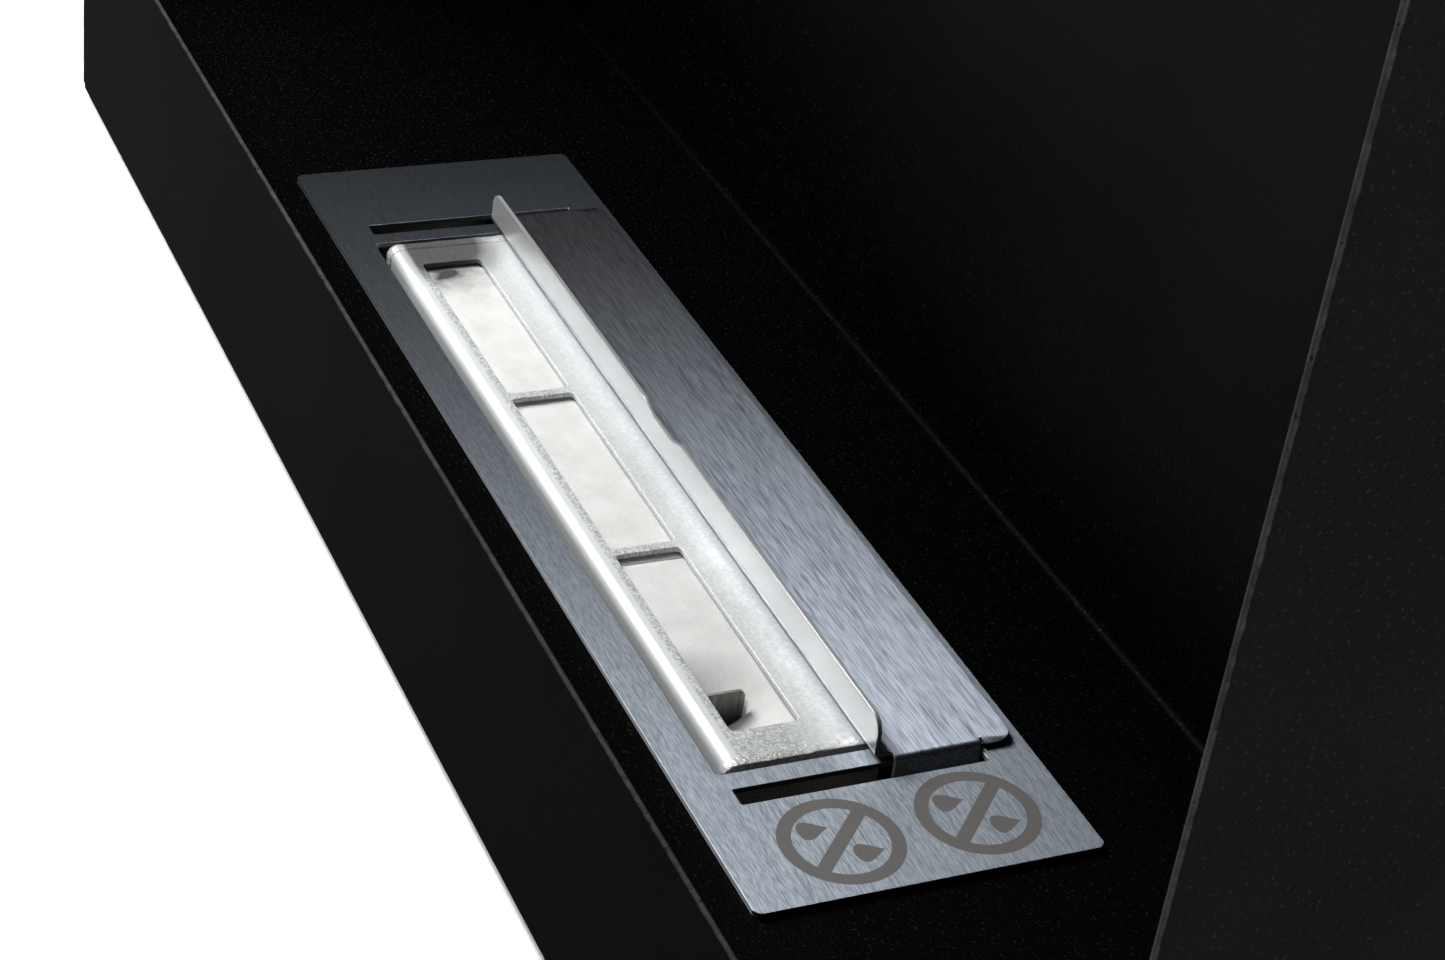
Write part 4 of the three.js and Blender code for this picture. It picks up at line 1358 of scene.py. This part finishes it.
tank_path = [
    (tank_low[1], tank_low[2]), (tank_low[1], tank_high[2]),
    (tank_high[1], tank_high[2]), (tank_high[1], tank_low[2]),
]
on_top = where_on_blank(
    tank_path, SHEET, TANK_BEND, 1, burner_y - tank_low[1] - TANK_BEND - SHEET
)
loops = [rectangle(tank_low[0], 0, tank_high[0], blank_length(tank_path, SHEET, TANK_BEND), 0.3)]
loops += [
    hole(rectangle(x0, on_top + WINDOW_FRONT, x1, on_top + WINDOW_BACK, WINDOW_CORNER))
    for x0, x1 in window_spans()
]
add_piece(
    "tank_shell", "burner_insert", tank_steel,
    [folded(loops, tank_path, SHEET, TANK_BEND, THIN_ROLL, along_x)],
)

# %% Tank ends and bottom
END_SHEET, TRAY_BEND = 1.5, 1.0
tank_round = TANK_BEND + SHEET
end_outline = fillet(
    [
        (tank_low[1], tank_low[2]), (tank_high[1], tank_low[2]),
        (tank_high[1], tank_high[2]), (tank_low[1], tank_high[2]),
    ],
    [0.3, 0.3, tank_round, tank_round],
    10,
)
end_face = max(abs(corner[0]) for corner in span("tank_end_right"))


def upright(side):
    """A flat sheet in (y, z), with its outer face on the tank's end."""
    return lambda a, b, t: np.column_stack([side * (end_face - t), a, b])


for side_name, side in SIDES:
    add_piece(
        "tank_end_" + side_name, "burner_insert", weld_steel,
        [blank([end_outline], END_SHEET, 0.5, upright(side))],
    )

low, high = span("tank_bottom")
tray_path = [(high[1], high[2]), (high[1], low[2]), (low[1], low[2]), (low[1], high[2])]
outline = rectangle(low[0], 0, high[0], blank_length(tray_path, END_SHEET, TRAY_BEND), 1.0)
add_piece(
    "tank_bottom", "burner_insert", tank_steel,
    [folded([outline], tray_path, END_SHEET, TRAY_BEND, 0.2, along_x)],
)

# %% [markdown]
# ### Weld beads
# Each end is welded on all round and ground back by hand, which leaves a wide, slightly lumpy band
# and soft corners. A bead is an oval carried along the end's outline, and smooth noise along and
# across it varies how proud it stands.

# %% Smooth noise and weld beads


def smooth_noise(shape, spacing, seed, octaves=3):
    """Values from -1 to 1 on a grid: sums of seeded random lattices, blended by s^2 (3 - 2 s).

    Octave k has a lattice 2^k times finer and counts 2^-k as much, and the sum is divided by all
    that the octaves count together."""
    total = np.zeros(shape)
    for octave in range(octaves):
        pitch = np.asarray(spacing, float) / 2**octave
        random = np.random.default_rng(seed + octave)
        lattice = random.uniform(-1, 1, [int(n / p) + 3 for n, p in zip(shape, pitch)])
        places = [np.arange(n) / p for n, p in zip(shape, pitch)]
        whole = [place.astype(int) for place in places]
        s = [(p - w) ** 2 * (3 - 2 * (p - w)) for p, w in zip(places, whole)]
        i, j = np.ix_(*whole)
        u, v = np.ix_(*s)
        low = lattice[i, j] * (1 - u) + lattice[i + 1, j] * u
        high = lattice[i, j + 1] * (1 - u) + lattice[i + 1, j + 1] * u
        total += (low * (1 - v) + high * v) / 2**octave
    return total / (2 - 2.0 ** (1 - octaves))


def tube(rings):
    """Closed rings of points, one after another, with a fan over each end, as a part."""
    count, around = rings.shape[:2]
    index = np.arange(count * around).reshape(count, around)
    after = np.roll(index, -1, 1)
    quads = np.stack([index[:-1], after[:-1], after[1:], index[1:]], -1).reshape(-1, 4)
    first, last = np.full(around, count * around), np.full(around, count * around + 1)
    tris = np.vstack([
        np.stack([after[0], index[0], first], 1), np.stack([index[-1], after[-1], last], 1)
    ])
    points = np.vstack([rings.reshape(-1, 3), rings[0].mean(0), rings[-1].mean(0)])
    return {"points": points, "quads": quads, "tris": tris}


def resample(line, count):
    """Evenly spaced points along an open line."""
    run = np.concatenate([[0], np.cumsum(np.linalg.norm(np.diff(line, axis=0), axis=1))])
    at = np.linspace(0, run[-1], count)
    return np.stack([np.interp(at, run, line[:, k]) for k in range(line.shape[1])], 1)


BEAD_HALF, BEAD_PROUD, BEAD_DEPTH = 2.4, 0.42, 0.9
BEAD_FOOT = 2.0  # the bead ends this far above the tank's bottom
BEAD_PAST = 0.15  # and it stands out past the tank's end by at most this much
RIPPLE, SWELL = 0.6, 0.18  # how much noise changes its height and its width


def weld_bead(side, seed, count=420, around=20):
    """An oval carried along the tank's end: its upper half stands proud of the ground face."""
    foot = tank_low[2] + BEAD_FOOT
    line = fillet(
        [
            (tank_low[1], foot), (tank_low[1], tank_high[2]),
            (tank_high[1], tank_high[2]), (tank_high[1], foot),
        ],
        [0, tank_round, tank_round, 0],
        16,
    )
    line = resample(line, count)
    along = np.gradient(line, axis=0)
    along /= np.linalg.norm(along, axis=1, keepdims=True)
    out = np.stack([-along[:, 1], along[:, 0]], 1)
    w = np.linspace(0, 2 * np.pi, around, endpoint=False)
    ripple = 1 + RIPPLE * smooth_noise((count, around), (11, 7), seed)
    wide = BEAD_HALF * (1 + SWELL * smooth_noise((count, 2), (16, 9), seed + 9)[:, :1])
    high = np.where(np.sin(w) > 0, BEAD_PROUD, BEAD_DEPTH) * np.sin(w) * ripple
    x = end_face - BEAD_HALF * 0.95 + np.cos(w)[None] * wide
    x = np.minimum(x, end_face + BEAD_PAST)
    yz = line[:, None] + out[:, None] * high[..., None]
    return tube(np.concatenate([side * x[..., None], yz], 2))


for number, (side_name, side) in enumerate(SIDES):
    name = "weld_bead_" + side_name
    bead = bpy.data.objects.new(name, fill_mesh(name, weld_bead(side, 40 + number)))
    bpy.context.scene.collection.objects.link(bead)
    bead.data.materials.append(weld_steel)
    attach(bead, "burner_insert")
print("weld beads are ready")

# %% [markdown]
# ## Ceramic wool
# The tank is packed with ceramic wool, which soaks up the fuel and feeds the flame. It is a soft
# mat, so its top is uneven: a little lower along the sheet's edges, and slit where the level gauge
# stands in it. A grid of heights over each block makes its top, and a skirt closes it.

# %% Wool blocks
WOOL_DROP = 0.9  # how far the lumps reach below the block's highest point
GRID = 0.9  # spacing of the grid
WALL_SAG, WALL_REACH = 0.4, 5.0  # how far it sinks at the tank's walls, and over what width
SEAM_SAG, SEAM_REACH = 0.3, 1.2  # and where two blocks meet
HOLLOW, HOLLOW_REACH = 12.0, 26.0  # the mat is pressed down round the gauge
HOLLOW_LONG = 1.3  # that hollow's length over its width
GAUGE_SHEET = 1.5
SLIT_HALF, SLIT_PAST, SLIT_FADE = 1.2, 0.8, 1.2  # the gauge's slit: half width, end and soft edge
SIDE_DRAW = 0.3  # the sides draw in by this much halfway down, as a cut mat's do


def wool_block(name, seed):
    """Heights on a grid in (x, y): z = top - drop * lumps - sag at the walls - hollow - slit.

    The sag is d^2 within a few millimetres of a wall, where d goes from 0 at the edge of that
    band to 1 at the wall. The hollow is cos^2 of the distance from the gauge, and the slit is a
    deep, narrow trough along it."""
    low, high = span(name)
    x = np.linspace(low[0], high[0], int((high[0] - low[0]) / GRID))
    y = np.linspace(low[1], high[1], int((high[1] - low[1]) / GRID))
    grid_x, grid_y = np.meshgrid(x, y, indexing="ij")
    lumps = 0.5 + 0.5 * smooth_noise(grid_x.shape, (26, 18), seed, 3)
    wall = np.clip(1 - np.minimum(grid_y - low[1], high[1] - grid_y) / WALL_REACH, 0, 1)
    seam = np.clip(1 - np.minimum(grid_x - low[0], high[0] - grid_x) / SEAM_REACH, 0, 1)
    z = high[2] - WOOL_DROP * lumps - (WALL_SAG * wall**2 + SEAM_SAG * seam**2)
    gauge_low, gauge_high = span("level_gauge")
    middle = (gauge_low + gauge_high) / 2
    away = np.hypot((grid_x - middle[0]) / HOLLOW_LONG, grid_y - middle[1]) / HOLLOW_REACH
    z -= HOLLOW * np.cos(np.clip(away, 0, 1) * np.pi / 2) ** 2
    beside = np.abs(grid_x - (gauge_low[0] + GAUGE_SHEET / 2)) - SLIT_HALF
    beyond = grid_y - (gauge_high[1] + SLIT_PAST)
    slit = np.clip(1 - np.maximum(beside, beyond) / SLIT_FADE, 0, 1)
    z = z + slit**2 * (gauge_low[2] - 1 - z)
    nx, ny = grid_x.shape
    top = np.stack([grid_x, grid_y, z], 2).reshape(-1, 3)
    index = np.arange(nx * ny).reshape(nx, ny)
    quads = np.stack([index[:-1, :-1], index[1:, :-1], index[1:, 1:], index[:-1, 1:]], -1)
    rim = np.concatenate([index[:, 0], index[-1, 1:], index[-2::-1, -1], index[0, -2:0:-1]])
    levels = np.linspace(0, 1, 9)[1:]
    edge = top[rim]
    inset = SIDE_DRAW * np.sin(np.pi * levels)
    centre = (low + high)[:2] / 2
    toward = np.sign(centre - edge[:, :2])
    skirt = [
        np.column_stack([edge[:, :2] + toward * gap, edge[:, 2] + s * (low[2] - edge[:, 2])])
        for s, gap in zip(levels, inset)
    ]
    points = np.vstack([top, *skirt, [[*centre, low[2]]]])
    rings = np.vstack([rim, nx * ny + np.arange(len(levels) * len(rim)).reshape(-1, len(rim))])
    after = np.roll(rings, -1, 1)
    walls = np.stack([rings[:-1], rings[1:], after[1:], after[:-1]], -1).reshape(-1, 4)
    foot = np.full(len(rim), len(points) - 1)
    tris = np.stack([rings[-1], foot, after[-1]], 1)
    return {"points": points, "quads": np.vstack([quads.reshape(-1, 4), walls]), "tris": tris}


for number, name in enumerate(("wool_block_left", "wool_block_middle", "wool_block_right")):
    block = add_piece(
        name, "burner_insert", wool_white, [wool_block(name, 7 + 11 * number)]
    )
    block.modifiers.clear()

# %% [markdown]
# ## Level gauge, brackets and nuts
# The gauge is a dark blade that stands across the right-hand window: fuel that covers its corner
# means the tank is full. Out of sight, two cranked brackets hang the tank from the plate's studs.

# %% Level gauge
GAUGE_BEND = 1.0
FOOT_LOWER = 4.0  # the blade's folded foot ends this far below its top
SLOPE = (2.5, -1.5)  # the top slopes down between these distances from where the blade starts
low, high = span("level_gauge")
gauge_path = [(high[0], low[1]), (low[0], low[1]), (low[0], high[1])]
gauge_section, gauge_length, gauge_lines, gauge_starts = fold(gauge_path, GAUGE_SHEET, GAUGE_BEND)
blade, foot_top = gauge_starts[1][0], high[2] - FOOT_LOWER
gauge_outline = fillet(
    [
        (low[2], 0), (low[2], gauge_length), (high[2], gauge_length),
        (high[2], blade + SLOPE[0]), (foot_top, blade + SLOPE[1]), (foot_top, 0),
    ],
    [0.5, 0.5, 2.4, 0.8, 0.8, 1.0],
)[::-1]
add_piece(
    "level_gauge", "burner_insert", dull_steel,
    [
        blank(
            [gauge_outline], GAUGE_SHEET, STEEL_ROLL,
            lambda a, b, t: np.column_stack([*gauge_section(b, t), a]),
            [(1, b, -np.inf, np.inf) for b in gauge_lines],
        )
    ],
)

# %% Brackets and nuts
LEG_X, CRANK_DOWN = 195.0, 26.0  # the bracket's upright leg, and its crank below the plate's top
NUT_REACH, NUT_ROLL = 4.04, 0.45  # from a nut's middle to a corner, and its rolled edge
BRACKET_PLAY, NUT_PLAY = 0.4, 0.3  # how much wider than a stud the two pieces' holes are
low, high = span("tank_bracket_right")
crank = plate_top - CRANK_DOWN
bracket_path = [
    (low[0], low[2]), (low[0], crank), (LEG_X, crank), (LEG_X, high[2]), (high[0], high[2]),
]
length = blank_length(bracket_path, SHEET, BEND)
on_leg = where_on_blank(bracket_path, SHEET, BEND, 3, STUD_X - LEG_X - BEND - SHEET)
loops = [rectangle(low[1], 0, high[1], length, 2.0)]
loops += [hole(disc(burner_y + y, on_leg, STUD_RADIUS + BRACKET_PLAY, 28)) for y in STUD_Y]
for side_name, side in SIDES:
    add_piece(
        "tank_bracket_" + side_name, "burner_insert", dull_steel,
        [folded(loops, bracket_path, SHEET, BEND, THIN_ROLL, along_y(side))],
    )

for name in [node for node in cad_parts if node.startswith("stud_nut")]:
    low, high = span(name)
    x, y = (low + high)[:2] / 2
    corners = [
        (x + NUT_REACH * math.cos(w), y + NUT_REACH * math.sin(w))
        for w in np.arange(6) * math.pi / 3
    ]
    loops = [fillet(corners, 0.5, 4), hole(disc(x, y, STUD_RADIUS + NUT_PLAY, 36))]
    add_piece(
        name, "burner_insert", zinc,
        [blank(loops, high[2] - low[2], NUT_ROLL, lying(low[2]))],
    )

# %% [markdown]
# ## The shutter
# One blank again: a wide flat cover, a polished lip turned up along its front edge with a shallow
# notch for a finger, and two tabs that are turned down at the ends, through the plate's guide
# slots. Small slits where a tab meets the cover let the two bends be made without tearing.

# %% Shutter
SHUTTER_SHEET, SHUTTER_BEND = 1.5, 0.8
LIP_HALF, LIP_CORNER = 177.4, 6.0
NOTCH_HALF, NOTCH_DEPTH, NOTCH_SLOPE = 18.0, 2.6, 10.0
TAB_FRONT, TAB_BACK = 12.1, 42.1  # from the plate's middle
SLIT_WIDE, SLIT_DEEP = (0.35, 1.0), (0.6, 0.4)  # the slits in front of a tab and behind it
REAR_CORNER = 6.0
RIVET_HOLE, RIVET_DOWN = 1.8, 8.2  # the hole's radius, and its depth below the plate's top


def notch(side):
    """One side of the notch, from its middle outwards: an S curve, depth * (1 + cos w) / 2."""
    w = np.linspace(0, np.pi, 14)
    a = NOTCH_HALF - NOTCH_SLOPE * (1 - w / np.pi)
    return np.stack([side * a, NOTCH_DEPTH * (1 + np.cos(w)) / 2], 1)


def shutter_blank():
    """The blank in (a, b): a runs along the case, and b from the lip's top to the cover's back."""
    keeper_low, keeper_high = span("shutter_keeper_right")
    low, high = shutter_low, shutter_high
    half, lip_back = high[0], low[1] + SHUTTER_SHEET
    path = [(lip_back, high[2]), (lip_back, COVER_TOP), (high[1], COVER_TOP)]
    section, length, lines, starts = fold(path, SHUTTER_SHEET, SHUTTER_BEND)

    def on_cover(y):
        return starts[1][0] + burner_y + y - starts[1][1][0]

    line = half - SHUTTER_BEND - SHUTTER_SHEET
    reach = SHUTTER_BEND + SHUTTER_SHEET
    arc = reach * np.pi / 2
    tab_end = line + arc + (COVER_TOP - reach - low[2])
    front, back = on_cover(TAB_FRONT), on_cover(TAB_BACK)
    slit_front, slit_back = front - SLIT_WIDE[0], back + SLIT_WIDE[1]
    in_front, behind = line - SLIT_DEEP[0], line - SLIT_DEEP[1]
    right = [
        (LIP_HALF, 0), (LIP_HALF, slit_front), (in_front, slit_front), (in_front, front),
        (tab_end, front), (tab_end, back), (behind, back), (behind, slit_back),
        (half, slit_back), (half, length),
    ]
    radii = [LIP_CORNER, 0.5, 0, 0, 1.5, 1.5, 0, 0, 0.6, REAR_CORNER]
    left = [(-a, b) for a, b in reversed(right)]
    outline = fillet([(0, NOTCH_DEPTH), *right, *left], [0, *radii, *reversed(radii)], 10)[1:]
    outline = np.vstack([notch(1), outline, notch(-1)[::-1]])
    rivet_y = (keeper_low[1] + keeper_high[1]) / 2 - burner_y
    rivet_down = COVER_TOP - (plate_top - RIVET_DOWN)
    rivet_a = line + arc + rivet_down - reach
    holes = [hole(disc(side * rivet_a, on_cover(rivet_y), RIVET_HOLE, 28)) for _, side in SIDES]

    def place(a, b, t):
        y, z = section(b, t)
        along, down = turned_edge(np.abs(a), t, line, SHUTTER_SHEET, SHUTTER_BEND)
        flat = b >= front - NEAR
        along, down = np.where(flat, along, np.abs(a)), np.where(flat, down, t)
        return np.column_stack([np.sign(a) * along, y, z - (down - t)])

    across = [(1, b, -np.inf, np.inf) for b in lines]
    bends = np.linspace(line, line + arc, BEND_STEPS + 1)
    across += [(0, side * a, front, back) for _, side in SIDES for a in bends]
    return blank([outline, *holes], SHUTTER_SHEET, STEEL_ROLL, place, across)


add_piece("shutter_plate", "shutter", shutter_steel, [shutter_blank()])

# %% [markdown]
# ### Keepers and rivets
# A small angle is riveted to each tab. Its flat leg runs under the cover plate, so the shutter can
# slide but can't be pulled up out of its slots.

# %% Keepers and rivets
KEEPER_BEND = 1.0
RIVET, RIVET_HEAD, HEAD_RISE, HEAD_EDGE = 1.5, 2.7, 1.2, 0.3
RIVET_GAP = 0.3  # left between the tab, the keeper and the rivet's heads
low, high = span("shutter_keeper_right")
keeper_path = [(low[0], low[2]), (low[0], high[2]), (high[0], high[2])]
rivet_low, rivet_high = span("keeper_rivet_right")
rivet_at = (rivet_low + rivet_high) / 2
length = blank_length(keeper_path, SHUTTER_SHEET, KEEPER_BEND)
loops = [
    rectangle(low[1], 0, high[1], length, 1.5),
    hole(disc(rivet_at[1], rivet_at[2] - low[2], RIVET_HOLE, 28)),
]
inner = low[0] - SHUTTER_SHEET - 2 * RIVET_GAP
outer = low[0] + SHUTTER_SHEET + RIVET_GAP
rivet_profile = [
    (0, inner - HEAD_RISE), (RIVET_HEAD * 0.6, inner - HEAD_RISE), (RIVET_HEAD, inner - HEAD_EDGE),
    (RIVET_HEAD, inner), (RIVET, inner), (RIVET, outer), (RIVET_HEAD, outer),
    (RIVET_HEAD, outer + HEAD_EDGE), (RIVET_HEAD * 0.6, outer + HEAD_RISE), (0, outer + HEAD_RISE),
]
for side_name, side in SIDES:
    add_piece(
        "shutter_keeper_" + side_name, "shutter", dull_steel,
        [folded(loops, keeper_path, SHUTTER_SHEET, KEEPER_BEND, STEEL_ROLL, along_y(side))],
    )
    centre = np.array([0.0, rivet_at[1], rivet_at[2]])
    add_piece(
        "keeper_rivet_" + side_name, "shutter", zinc,
        [turned(softened(rivet_profile, 0.5), centre, (float(side), 0.0, 0.0))],
    )
